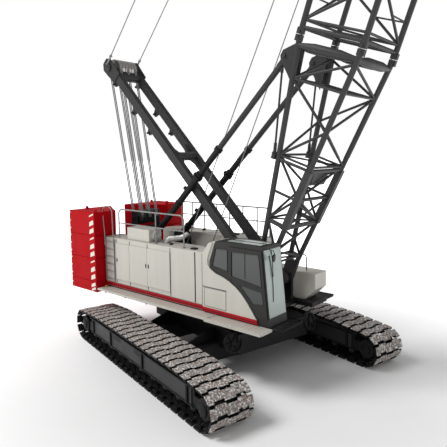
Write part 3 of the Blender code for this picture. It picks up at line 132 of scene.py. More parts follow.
@dataclass(frozen=True)
class Places:
    """The crane's frames at rest, read from the joints of the loaded frame."""

    ground: Placement
    upper: Placement
    boom: Placement
    mast: Placement
    backstop: Placement

    @classmethod
    def from_joints(cls, joints: Sequence[dict]) -> Places:
        """Work the frames out from the slew, boom, mast and backstop joints.

        Args:
            joints: the joints of the loaded frame.

        Returns:
            The frames of the tracks, the upperworks, the boom, the mast and the backstops.
        """
        named = {joint["name"]: joint for joint in joints}
        centre = np.array([*named["slew"]["pos_m"][:2], 0.0])
        axis = named["boom_hoist"]["axis"]
        turn = math.atan2(axis[0], -axis[1])
        c, s = math.cos(turn), math.sin(turn)
        upper = Placement(centre, np.array([[c, -s, 0.0], [s, c, 0.0], [0.0, 0.0, 1.0]]))

        def pivot(name: str) -> tuple[float, float]:
            """Return a joint's place in the upperworks' X and Z."""
            place = upper.local(np.array(named[name]["pos_m"]))
            return float(place[0]), float(place[2])

        rod = np.array(named["backstop_slide"]["axis"]) @ upper.axes
        climb = math.degrees(math.atan2(rod[2], rod[0]))
        return cls(
            ground=Placement(centre, np.eye(3)), upper=upper,
            boom=upper.tilted(*pivot("boom_hoist"), 70.8), mast=upper.tilted(*pivot("mast_pivot"), 134.5),
            backstop=upper.tilted(*pivot("backstop_pivot"), climb))


# --------------------------------------------------------------------------------------------
# Shapes
# --------------------------------------------------------------------------------------------


class Solids:
    """Closed solids worked out as arrays and gathered into one mesh."""

    def __init__(self) -> None:
        """Start with nothing."""
        self.points: list[Points] = []
        self.faces: list[list[int]] = []
        self.count = 0

    def add(self, points: Points, *faces: Points) -> Solids:
        """Add points with their faces.

        Args:
            points: points, as rows.
            faces: arrays of faces, each with one row of point indices for each face.

        Returns:
            This collection.
        """
        for group in faces:
            self.faces.extend((group + self.count).tolist())
        self.points.append(points.reshape(-1, 3))
        self.count += len(points.reshape(-1, 3))
        return self

    def tubes(self, starts: Points, ends: Points, radii: Points | float, sides: int = 16) -> Solids:
        """Add round bars: each is a circle of the radius, square to the run, carried from start to end.

        Args:
            starts: first ends, as rows.
            ends: second ends, as rows.
            radii: one radius, or one for each bar.
            sides: corners of each circle.

        Returns:
            This collection.
        """
        starts, ends = np.atleast_2d(starts).astype(float), np.atleast_2d(ends).astype(float)
        radii = np.broadcast_to(np.asarray(radii, float), (len(starts),))
        run = ends - starts
        run /= np.linalg.norm(run, axis=1, keepdims=True)
        helper = np.where(np.abs(run[:, 2:3]) > 0.9, [[1.0, 0.0, 0.0]], [[0.0, 0.0, 1.0]])
        first = np.cross(run, helper)
        first /= np.linalg.norm(first, axis=1, keepdims=True)
        second = np.cross(run, first)
        angle = np.arange(sides) * 2 * np.pi / sides
        ring = (
            first[:, None] * np.cos(angle)[None, :, None] + second[:, None] * np.sin(angle)[None, :, None]
        ) * radii[:, None, None]
        points = np.stack([starts[:, None] + ring, ends[:, None] + ring], axis=1)
        base = (np.arange(len(starts)) * 2 * sides)[:, None]
        corner = np.arange(sides)[None, :]
        following = (corner + 1) % sides
        walls = np.stack(
            [base + corner, base + sides + corner, base + sides + following, base + following], axis=-1)
        caps = np.concatenate([base + corner, base + sides + corner[:, ::-1]])
        return self.add(points, walls.reshape(-1, 4)[:, ::-1], caps[:, ::-1])

    def bent(self, path: Points, radius: float | Points, sides: int = 12) -> Solids:
        """Add one round bar along a path: the same circle set square to the path at each point.

        Args:
            path: points of the path, as rows.
            radius: radius of the bar, or one for each point.
            sides: corners of the circle.

        Returns:
            This collection.
        """
        path = np.asarray(path, float)
        run = np.gradient(path, axis=0)
        run /= np.linalg.norm(run, axis=1, keepdims=True)
        whole = path[-1] - path[0]
        side = np.array([0.31, 0.87, 0.38]) if np.linalg.norm(whole) < 1e-9 else np.cross(
            whole, [0.31, 0.87, 0.38])
        side = side / np.linalg.norm(side)
        first = side - run * (run @ side)[:, None]
        first /= np.linalg.norm(first, axis=1, keepdims=True)
        second = np.cross(run, first)
        angle = np.arange(sides) * 2 * np.pi / sides
        radius = np.broadcast_to(np.asarray(radius, float), (len(path),))[:, None, None]
        points = path[:, None] + radius * (
            first[:, None] * np.cos(angle)[None, :, None] + second[:, None] * np.sin(angle)[None, :, None])
        return self.lofted(points)

    def lofted(self, rings: Points) -> Solids:
        """Add a skin through rings of equal size, closed by a face at each end, once or many times.

        Args:
            rings: rings of points in the same order, as (steps, corners, 3), or (copies, steps, corners, 3).

        Returns:
            This collection.
        """
        rings = rings.reshape(-1, *rings.shape[-3:])
        copies, steps, sides = rings.shape[:3]
        first = (np.arange(copies) * steps * sides)[:, None, None]
        lower = (np.arange(steps - 1) * sides)[None, :, None] + first
        corner = np.arange(sides)[None, None, :]
        following = (corner + 1) % sides
        walls = np.stack([lower + corner, lower + following, lower + sides + following, lower + sides + corner],
                         axis=-1)
        last = first + (steps - 1) * sides
        caps = [(first + corner[..., ::-1]).reshape(-1, sides), (last + corner).reshape(-1, sides)]
        return self.add(rings, walls.reshape(-1, 4), *caps)

    def boxes(self, centres: Points, halves: Points, axes: Points | None = None) -> Solids:
        """Add boxes: the eight sums of plus or minus each half size along the box's own axes.

        Args:
            centres: centres, as rows.
            halves: half sizes, one row, or one for each box.
            axes: rotations whose columns are the boxes' axes; upright if left out.

        Returns:
            This collection.
        """
        centres = np.atleast_2d(np.asarray(centres, float))
        halves = np.broadcast_to(np.asarray(halves, float), centres.shape)
        signs = np.array([
            [-1, -1, -1], [1, -1, -1], [1, 1, -1], [-1, 1, -1], [-1, -1, 1], [1, -1, 1], [1, 1, 1],
            [-1, 1, 1]])
        points = signs[None] * halves[:, None]
        if axes is not None:
            points = np.einsum("nij,nkj->nki", np.broadcast_to(axes, (len(centres), 3, 3)), points)
        points = points + centres[:, None]
        faces = np.array([
            [0, 3, 2, 1], [4, 5, 6, 7], [0, 1, 5, 4], [1, 2, 6, 5], [2, 3, 7, 6], [3, 0, 4, 7]])
        every = faces[None] + (np.arange(len(centres)) * 8)[:, None, None]
        return self.add(points, every.reshape(-1, 4))

    def slab(self, outline: Sequence[Sequence[float]], plane: Plane, low: float, high: float) -> Solids:
        """Add a flat outline drawn out from low to high.

        Args:
            outline: corners of the outline, in order.
            plane: the plane that it is drawn in.
            low: where it starts on the axis left over.
            high: where it ends.

        Returns:
            This collection.
        """
        flat = np.asarray(outline, float)
        one, two, out = plane.value
        rings = np.zeros((2, len(flat), 3))
        rings[:, :, one], rings[:, :, two] = flat[:, 0], flat[:, 1]
        rings[0, :, out], rings[1, :, out] = low, high
        x, y = flat[:, 0], flat[:, 1]
        area = float(np.sum(x * np.roll(y, -1) - np.roll(x, -1) * y)) * (-1 if plane is Plane.XZ else 1)
        if area * (high - low) < 0:
            rings = rings[:, ::-1]
        return self.lofted(rings)

    def turned(self, profile: Sequence[Sequence[float]], centre: Points, axis: Points,
               sides: int = 32) -> Solids:
        """Add a turned solid: each profile point (along, radius) swept round the axis.

        Args:
            profile: distances along the axis with their radii, in order along it.
            centre: the point on the axis at distance 0.
            axis: direction of the axis.
            sides: steps round the axis.

        Returns:
            This collection.
        """
        axis = np.asarray(axis, float) / np.linalg.norm(axis)
        helper = ALONG if abs(axis[2]) > 0.9 else UP
        first = np.cross(axis, helper)
        first /= np.linalg.norm(first)
        second = np.cross(axis, first)
        angle = np.arange(sides) * 2 * np.pi / sides
        around = first * np.cos(angle)[:, None] + second * np.sin(angle)[:, None]
        flat = np.asarray(profile, float)
        rings = np.asarray(centre) + flat[:, :1, None] * axis + np.maximum(flat[:, 1:, None], 1e-4) * around[
            None]
        return self.lofted(rings)


def dressed(
    mesh: bpy.types.Mesh, finish: bpy.types.Material, sharp: float, bevel: float, limit: float,
) -> bpy.types.Object:
    """Make an object of a mesh, with its finish and, if asked for, rounded edges.

    Args:
        mesh: the mesh, whose name the object takes.
        finish: its material.
        sharp: angle in degrees above which an edge stays sharp.
        bevel: width of the rounded edges; none if 0.
        limit: angle in degrees above which an edge is rounded.

    Returns:
        The object.
    """
    mesh.shade_smooth()
    mesh.set_sharp_from_angle(angle=math.radians(sharp))
    mesh.materials.append(finish)
    made = bpy.data.objects.new(mesh.name, mesh)
    bpy.context.scene.collection.objects.link(made)
    if bevel:
        rounding = made.modifiers.new("edges", "BEVEL")
        rounding.width, rounding.segments = bevel, 2
        rounding.limit_method, rounding.angle_limit = "ANGLE", math.radians(limit)
        rounding.harden_normals = True
    return made


@dataclass
class Workshop:
    """Turns solids into pieces that ride on the frame."""

    made: list[str] = field(default_factory=list)

    def piece(
        self, name: str, solids: Solids, place: Placement, finish: bpy.types.Material, body: str, slot: str,
        bevel: float = 0.0, replaces: Sequence[str] = (), sharp: float = 32.0,
    ) -> bpy.types.Object:
        """Make one piece, seat it on a body and dress it.

        Args:
            name: name of the piece.
            solids: its shape, in the frame of its place.
            place: the frame that the shape is drawn in.
            finish: its material.
            body: the body that it rides on.
            slot: not used.
            bevel: width of the rounded edges; none if 0.
            replaces: nodes of the frame that it stands for.
            sharp: angle in degrees above which an edge stays sharp.

        Returns:
            The piece.
        """
        mesh = bpy.data.meshes.new(name)
        points = place.world(np.concatenate(solids.points))
        mesh.from_pydata(points.tolist(), [], solids.faces)
        made = dressed(mesh, finish, sharp, bevel, 40)
        if body:
            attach(made, body)
        if replaces:
            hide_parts(*replaces)
        self.made.append(name)
        LOG.info("%s rides on %s", name, body or "two bodies")
        return made

    def solo(
        self, name: str, solids: Solids, place: Placement, finish: bpy.types.Material, slot: str,
    ) -> bpy.types.Object:
        """Make a piece that is seated on no body.

        Args:
            name: name of the piece.
            solids: its shape.
            place: the frame that the shape is drawn in.
            finish: its material.
            slot: handed on to piece, which does not use it.

        Returns:
            The piece.
        """
        return self.piece(name, solids, place, finish, "", slot)


# --------------------------------------------------------------------------------------------
# Finishes
# --------------------------------------------------------------------------------------------

Value = float | Colour | bpy.types.NodeSocket


class Graph:
    """A node tree, with short ways to add nodes and to join them."""

    def __init__(self, tree: bpy.types.NodeTree) -> None:
        """Take a tree and empty it."""
        self.tree = tree
        tree.nodes.clear()

    def feed(self, socket: bpy.types.NodeSocket, value: Value) -> None:
        """Set a socket to a value, or join it to another socket."""
        if isinstance(value, bpy.types.NodeSocket):
            self.tree.links.new(value, socket)
        elif isinstance(value, tuple) and socket.type == "RGBA":
            socket.default_value = (*value, 1.0)
        else:
            socket.default_value = value

    def node(self, kind: str, values: dict[str | int, Value] | None = None,
             **settings: object) -> bpy.types.Node:
        """Add a node.

        Args:
            kind: its type, without the leading ShaderNode.
            values: what its inputs are set or joined to, by name or place.
            settings: its settings.

        Returns:
            The node.
        """
        node = self.tree.nodes.new("ShaderNode" + kind)
        for name, setting in settings.items():
            setattr(node, name, setting)
        for name, value in (values or {}).items():
            self.feed(node.inputs[name], value)
        return node

    def surface(self, values: dict[str | int, Value]) -> None:
        """Add a principled shader with its inputs, and make it the surface."""
        shader = self.node("BsdfPrincipled", values)
        self.node("OutputMaterial", {"Surface": shader.outputs["BSDF"]})

    def group(self, result: bpy.types.Node, *values: Value) -> bpy.types.NodeTree:
        """Join a group's outputs, in order, to their values, and return its tree."""
        for socket, value in zip(result.inputs, values):
            self.feed(socket, value)
        return self.tree

    def object_point(self, stretch: Colour = (1.0, 1.0, 1.0)) -> bpy.types.NodeSocket:
        """Return the point on the object, stretched along each axis."""
        point = self.node("TexCoord").outputs["Object"]
        return self.node("Mapping", {"Vector": point, "Scale": stretch}).outputs["Vector"]

    def noise(self, point: bpy.types.NodeSocket, scale: Value, detail: float = 4.0) -> bpy.types.NodeSocket:
        """Return a cloud pattern from 0 to 1."""
        return self.node("TexNoise", {"Vector": point, "Scale": scale, "Detail": detail}).outputs["Fac"]

    def maths(self, operation: str, one: Value, two: Value = 0.0) -> bpy.types.NodeSocket:
        """Return the result of a sum on one or two values, kept from 0 to 1."""
        return self.node("Math", {0: one, 1: two}, operation=operation, use_clamp=True).outputs[0]

    def between(
        self, value: Value, low: float, high: float, start: Value = 0.0, end: Value = 1.0,
    ) -> bpy.types.NodeSocket:
        """Return a value carried smoothly from one range to another.

        Args:
            value: what is carried over.
            low: where it gives start.
            high: where it gives end.
            start: result at and below low.
            end: result at and above high.

        Returns:
            The socket with the result.
        """
        return self.node(
            "MapRange", {0: value, 1: low, 2: high, 3: start, 4: end},
            interpolation_type="SMOOTHSTEP").outputs[0]

    def blend(self, share: Value, one: Value, two: Value) -> bpy.types.NodeSocket:
        """Return a colour between two, by share."""
        return self.node("Mix", {0: share, 6: one, 7: two}, data_type="RGBA").outputs[2]


def blank(name: str) -> tuple[bpy.types.Material, Graph]:
    """Return a new material with its empty graph."""
    made = bpy.data.materials.new(name)
    made.use_nodes = True
    return made, Graph(made.node_tree)


@dataclass(frozen=True)
class Effect:
    """A shader node group: an effect that several finishes use, each with its own values."""

    name: str
    inputs: tuple[tuple[str, str, float | Colour], ...]

    def start(self) -> tuple[Graph, bpy.types.Node, bpy.types.Node]:
        """Make the group with its inputs and the outputs Colour, Roughness and Height.

        Returns:
            Its graph, its input node and its output node.
        """
        tree = bpy.data.node_groups.new(self.name, "ShaderNodeTree")
        for name, kind, value in self.inputs:
            socket = tree.interface.new_socket(name=name, in_out="INPUT", socket_type=kind)
            socket.default_value = (*value, 1.0) if isinstance(value, tuple) else value
        for name, kind in (("Colour", "NodeSocketColor"), ("Roughness", "NodeSocketFloat"),
                           ("Height", "NodeSocketFloat")):
            tree.interface.new_socket(name=name, in_out="OUTPUT", socket_type=kind)
        graph = Graph(tree)
        return graph, tree.nodes.new("NodeGroupInput"), tree.nodes.new("NodeGroupOutput")


COLOUR, NUMBER = "NodeSocketColor", "NodeSocketFloat"


class Effects:
    """The shared effects, each built once."""

    def __init__(self) -> None:
        """Build them."""
        self.paint = self.weathered_paint()
        self.shoe = self.worn_shoe()
        self.lay = self.twisted_lay()
        self.weave = self.woven_cloth()

    def weathered_paint(self) -> bpy.types.NodeTree:
        """Build sprayed paint: soft clouding, faint runs, dust where it faces up, and fine grain."""
        effect = Effect("weathered paint", (
            ("Paint", COLOUR, (0.5, 0.5, 0.5)), ("Dust", COLOUR, (0.4, 0.38, 0.34)),
            ("Dust Amount", NUMBER, 0.3),
            ("Roughness", NUMBER, 0.4), ("Depth", NUMBER, 0.95)))
        graph, given, result = effect.start()
        cloud = graph.noise(graph.object_point(), 1.7, 5.0)
        runs = graph.noise(graph.object_point((7.0, 7.0, 0.6)), 1.0, 4.0)
        grain = graph.noise(graph.object_point(), 210.0, 2.0)
        facing = graph.node("SeparateXYZ", {0: graph.node("NewGeometry").outputs["Normal"]}).outputs["Z"]
        upward = graph.between(facing, 0.3, 0.95)
        patches = graph.between(cloud, 0.42, 0.68, 0.15, 1.0)
        streaks = graph.between(runs, 0.5, 0.8, 0.0, 0.5)
        settled = graph.maths("MULTIPLY", patches, graph.maths("ADD", upward, streaks))
        dusty = graph.maths("MULTIPLY", settled, given.outputs["Dust Amount"])
        deep = graph.node(
            "Mix", {0: 1.0, 6: given.outputs["Paint"], 7: given.outputs["Depth"]}, data_type="RGBA",
            blend_type="MULTIPLY").outputs[2]
        tone = graph.blend(graph.between(runs, 0.35, 0.7), deep, given.outputs["Paint"])
        varied = graph.maths("ADD", given.outputs["Roughness"], graph.between(cloud, 0.3, 0.7, -0.05, 0.07))
        rough = graph.maths("ADD", varied, graph.maths("MULTIPLY", dusty, 0.3))
        height = graph.maths("ADD", graph.maths("MULTIPLY", grain, 0.7), graph.maths("MULTIPLY", cloud, 0.3))
        return graph.group(result, graph.blend(dusty, tone, given.outputs["Dust"]), rough, height)

    def worn_shoe(self) -> bpy.types.NodeTree:
        """Build cast shoe steel: grey with rust patches, pale scuffs and dark pits."""
        effect = Effect("worn shoe", (
            ("Steel", COLOUR, (0.2, 0.2, 0.2)), ("Rust", COLOUR, (0.2, 0.1, 0.06)),
            ("Scuff", COLOUR, (0.6, 0.6, 0.6)), ("Scuff Amount", NUMBER, 1.0)))
        graph, given, result = effect.start()
        point = graph.object_point()
        rust = graph.between(graph.noise(point, 8.0, 6.0), 0.46, 0.58)
        flecks = graph.between(graph.noise(point, 19.0, 8.0), 0.50, 0.57)
        broad = graph.between(graph.noise(point, 4.0, 3.0), 0.36, 0.52, 0.45, 1.0)
        pits = graph.between(graph.noise(point, 26.0, 5.0), 0.38, 0.46, 1.0, 0.0)
        scuffed = graph.maths(
            "MULTIPLY", graph.maths("MULTIPLY", flecks, broad), given.outputs["Scuff Amount"])
        base = graph.blend(rust, given.outputs["Steel"], given.outputs["Rust"])
        worn = graph.blend(scuffed, base, given.outputs["Scuff"])
        pitted = graph.blend(graph.maths("MULTIPLY", pits, 0.65), worn, (0.02, 0.018, 0.016))
        solid = graph.maths("MULTIPLY", graph.maths("SUBTRACT", 1.0, pits), 0.5)
        height = graph.maths("ADD", graph.maths("MULTIPLY", flecks, 0.5), solid)
        return graph.group(result, pitted, graph.between(flecks, 0.0, 1.0, 0.75, 0.5), height)

    def twisted_lay(self) -> bpy.types.NodeTree:
        """Build laid wire rope: slanting bands of strand with dark grease between them."""
        effect = Effect("twisted lay", (
            ("Wire", COLOUR, (0.3, 0.3, 0.3)), ("Grease", COLOUR, (0.05, 0.05, 0.05)),
            ("Pitch", NUMBER, 30.0)))
        graph, given, result = effect.start()
        bands = graph.node(
            "TexWave", {"Vector": graph.object_point(), "Scale": given.outputs["Pitch"], "Distortion": 0.4},
            bands_direction="DIAGONAL").outputs["Fac"]
        colour = graph.blend(graph.between(bands, 0.1, 0.6), given.outputs["Grease"], given.outputs["Wire"])
        return graph.group(result, colour, graph.between(bands, 0.0, 1.0, 0.65, 0.38), bands)

    def woven_cloth(self) -> bpy.types.NodeTree:
        """Build woven cloth: two sets of fine threads that cross, with a soft fleck."""
        effect = Effect("woven cloth", (
            ("Thread", COLOUR, (0.05, 0.05, 0.05)), ("Fleck", COLOUR, (0.12, 0.12, 0.12)),
            ("Count", NUMBER, 220.0)))
        graph, given, result = effect.start()
        point = graph.object_point()
        warp, weft = (graph.node(
            "TexWave", {"Vector": point, "Scale": given.outputs["Count"]}, bands_direction=run)
                      for run in "XY")
        height = graph.maths("MAXIMUM", warp.outputs["Fac"], weft.outputs["Fac"])
        fleck = graph.between(graph.noise(point, 60.0, 3.0), 0.5, 0.7)
        colour = graph.blend(fleck, given.outputs["Thread"], given.outputs["Fleck"])
        return graph.group(result, colour, graph.between(height, 0.0, 1.0, 0.95, 0.8), height)


@dataclass(frozen=True)
class Finish:
    """A finish made of one shared effect with its own values."""

    name: str
    effect: str
    values: tuple[tuple[str, float | Colour], ...]
    metallic: float = 0.0
    coat: float = 0.0
    bump: float = 0.1
    bump_depth: float = 0.002
    shine: float = 0.5

    def material(self, effects: Effects) -> bpy.types.Material:
        """Build the material.

        Args:
            effects: the shared effects.

        Returns:
            The material.
        """
        made, graph = blank(self.name)
        group = graph.node("Group", node_tree=getattr(effects, self.effect))
        for name, value in self.values:
            graph.feed(group.inputs[name], value)
        bump = graph.node(
            "Bump", {"Strength": self.bump, "Distance": self.bump_depth, "Height": group.outputs["Height"]})
        graph.surface({
            "Base Color": group.outputs["Colour"], "Roughness": group.outputs["Roughness"],
            "Metallic": self.metallic, "Coat Weight": self.coat, "Coat Roughness": 0.12,
            "Specular IOR Level": self.shine, "Normal": bump.outputs["Normal"]})
        return made


def paint(
    effects: Effects, name: str, colour: Colour, dust: Colour, amount: float, roughness: float,
    coat: float = 0.0, shine: float = 0.5,
) -> bpy.types.Material:
    """Return a sprayed paint.

    Args:
        effects: the shared effects.
        name: name of the finish.
        colour: colour of the paint.
        dust: colour of the dust on it.
        amount: how much dust, from 0 to 1.
        roughness: roughness of the clean paint.
        coat: weight of the clear coat.
        shine: strength of the paint's own reflection.

    Returns:
        The material.
    """
    values = (("Paint", colour), ("Dust", dust), ("Dust Amount", amount), ("Roughness", roughness))
    return Finish(name, "paint", values, coat=coat, bump=0.05, shine=shine).material(effects)


@dataclass(frozen=True)
class Glass:
    """Tinted safety glass with a faint film of dust; a pale base colour paints in a bright reflection."""

    name: str
    tint_and_painted_reflection: Colour
    clear: float

    def material(self, _effects: Effects) -> bpy.types.Material:
        """Build the material.

        Args:
            _effects: the shared effects, of which glass uses none.

        Returns:
            The material.
        """
        made, graph = blank(self.name)
        film = graph.between(graph.noise(graph.object_point(), 3.0, 4.0), 0.35, 0.75, 0.02, 0.07)
        graph.surface({
            "Base Color": self.tint_and_painted_reflection, "Roughness": film, "Metallic": 0.0, "Transmission Weight": self.clear,
            "IOR": 1.5})
        return made


class Palette:
    """Every material of the crane."""

    def __init__(self, effects: Effects) -> None:
        """Build the materials from their finishes.

        Args:
            effects: the shared effects.
        """
        grey_dust, pale_dust = (0.34, 0.33, 0.31), (0.66, 0.65, 0.61)
        lay = (("Wire", (0.26, 0.26, 0.26)), ("Grease", (0.16, 0.16, 0.16)))
        shoe = (("Steel", (0.27, 0.245, 0.232)), ("Rust", (0.27, 0.205, 0.17)), ("Scuff", (0.72, 0.70, 0.68)))
        self.cream = paint(effects, "cream paint", (0.51, 0.49, 0.44), (0.48, 0.46, 0.42), 0.3, 0.38, 0.15)
        self.red = paint(effects, "red paint", (0.42, 0.002, 0.006), (0.34, 0.01, 0.015), 0.06, 0.5,
                         shine=0.05)
        self.stripe = paint(effects, "red stripe", (0.40, 0.004, 0.012), (0.3, 0.04, 0.04), 0.12, 0.5,
                            shine=0.2)
        self.charcoal = paint(
            effects, "charcoal paint", (0.020, 0.019, 0.018), (0.2, 0.19, 0.18), 0.04, 0.45, shine=0.3)
        self.steel = paint(
            effects, "dark grey paint", (0.026, 0.026, 0.026), (0.16, 0.155, 0.15), 0.12, 0.5, shine=0.35)
        self.black = paint(effects, "black paint", (0.005, 0.005, 0.0055), (0.04, 0.04, 0.04), 0.12, 0.5,
                           shine=0.25)
        self.mark = paint(effects, "warning cream", (0.74, 0.71, 0.62), pale_dust, 0.2, 0.45)
        self.amber = paint(effects, "amber lamp", (0.62, 0.28, 0.04), (0.5, 0.35, 0.15), 0.2, 0.3)
        self.rail = paint(effects, "rail paint", (0.24, 0.235, 0.225), grey_dust, 0.15, 0.4)
        self.rubber = paint(effects, "rubber seal", (0.012, 0.012, 0.012), grey_dust, 0.12, 0.7)
        bare = (("Paint", (0.45, 0.45, 0.44)), ("Dust", grey_dust), ("Dust Amount", 0.3), ("Roughness", 0.38))
        turned = (
            ("Paint", (0.34, 0.33, 0.32)), ("Dust", (0.10, 0.09, 0.08)), ("Dust Amount", 0.5),
            ("Roughness", 0.32))
        cloth = (("Thread", (0.025, 0.026, 0.028)), ("Fleck", (0.07, 0.07, 0.075)))
        self.silver = Finish("silver duct", "paint", bare, metallic=0.7).material(effects)
        self.machined = Finish("machined steel", "paint", turned, metallic=0.9).material(effects)
        self.shoe = Finish("worn shoe steel", "shoe", shoe, metallic=0.1, bump=0.5, bump_depth=0.01).material(
            effects)
        self.rope = Finish("wire rope", "lay", (*lay, ("Pitch", 30.0)), metallic=0.2, bump=0.2).material(
            effects)
        self.fabric = Finish("seat cloth", "weave", cloth, bump=0.3, bump_depth=0.001).material(effects)
        self.glass = Glass("tinted glass", (0.055, 0.060, 0.060), 0.30).material(effects)
        # Windshield and roof glass: their pale base colour is a painted reflection of the bright surround, over
        # a green tint.
        self.glass_painted_reflection = Glass("glass with painted reflection", (0.70, 0.80, 0.76), 0.62).material(effects)
        self.roof_glass_painted_reflection = Glass("roof glass with painted reflection", (0.62, 0.68, 0.66), 0.25).material(effects)
        self.floor = self.studio_floor()

    def studio_floor(self) -> bpy.types.Material:
        """Return the floor: matt and pale near the crane, with a painted glow that rises to plain white with
        distance from it.
        """
        made, graph = blank("studio floor")
        away = graph.node("VectorMath", {0: graph.object_point()}, operation="LENGTH").outputs["Value"]
        # Painted glow: white emission that rises from none at 3 m to full at 17 m from the floor's centre.
        painted_glow = graph.between(away, 3.0, 17.0)
        tone = graph.between(graph.noise(graph.object_point(), 0.3, 3.0), 0.3, 0.7, 0.84, 0.86)
        graph.surface({
            "Base Color": tone, "Roughness": 0.8, "Specular IOR Level": 0.1,
            "Emission Color": (1.0, 1.0, 1.0),
            "Emission Strength": painted_glow})
        return made


# --------------------------------------------------------------------------------------------
# Sub-assemblies
# --------------------------------------------------------------------------------------------


@dataclass
class Kit:
    """What every sub-assembly builds with."""

    places: Places
    palette: Palette
    shop: Workshop

    def upper(
        self, name: str, solids: Solids, finish: bpy.types.Material, slot: str, **more: float | Sequence[str],
    ) -> bpy.types.Object:
        """Make a piece that is drawn in the upperworks' frame and rides on them."""
        return self.shop.piece(name, solids, self.places.upper, finish, "upperworks", slot, **more)

    def ground(
        self, name: str, solids: Solids, finish: bpy.types.Material, slot: str, **more: float | Sequence[str],
    ) -> bpy.types.Object:
        """Make a piece that is drawn in the ground's frame and rides on the undercarriage."""
        return self.shop.piece(name, solids, self.places.ground, finish, "undercarriage", slot, **more)

    def repaint(self, finish: bpy.types.Material, *nodes: str) -> None:
        """Give nodes of the frame a finish."""
        for node in nodes:
            for slot in bpy.data.objects[node].material_slots:
                slot.material = finish

    def rounded(self, node: str, finish: bpy.types.Material, body: str, bevel: float = 0.01) -> None:
        """Replace a node by a copy of it with rounded edges.

        Args:
            node: the node.
            finish: its finish.
            body: the body that it rides on.
            bevel: width of the rounding.
        """
        mesh = bpy.data.meshes.new(node + "_rounded")
        shape = bmesh.new()
        shape.from_mesh(bpy.data.objects[node].data)
        bmesh.ops.remove_doubles(shape, verts=shape.verts, dist=1e-5)
        bmesh.ops.dissolve_limit(shape, angle_limit=math.radians(0.5), verts=shape.verts, edges=shape.edges)
        shape.to_mesh(mesh)
        shape.free()
        made = dressed(mesh, finish, 32, bevel, 50)
        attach(made, body)
        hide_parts(node)
        self.shop.made.append(made.name)
        LOG.info("%s stands for %s", made.name, node)


def row(x: float | Points, y: float | Points, z: float | Points) -> Points:
    """Return points from their coordinates, each of them one number or one for each point."""
    return np.stack(np.broadcast_arrays(x, y, z), axis=-1).astype(float)


def span(side: int, inner: float, outer: float) -> tuple[float, float]:
    """Return two distances out to one side, in rising order."""
    return (inner, outer) if side > 0 else (-outer, -inner)


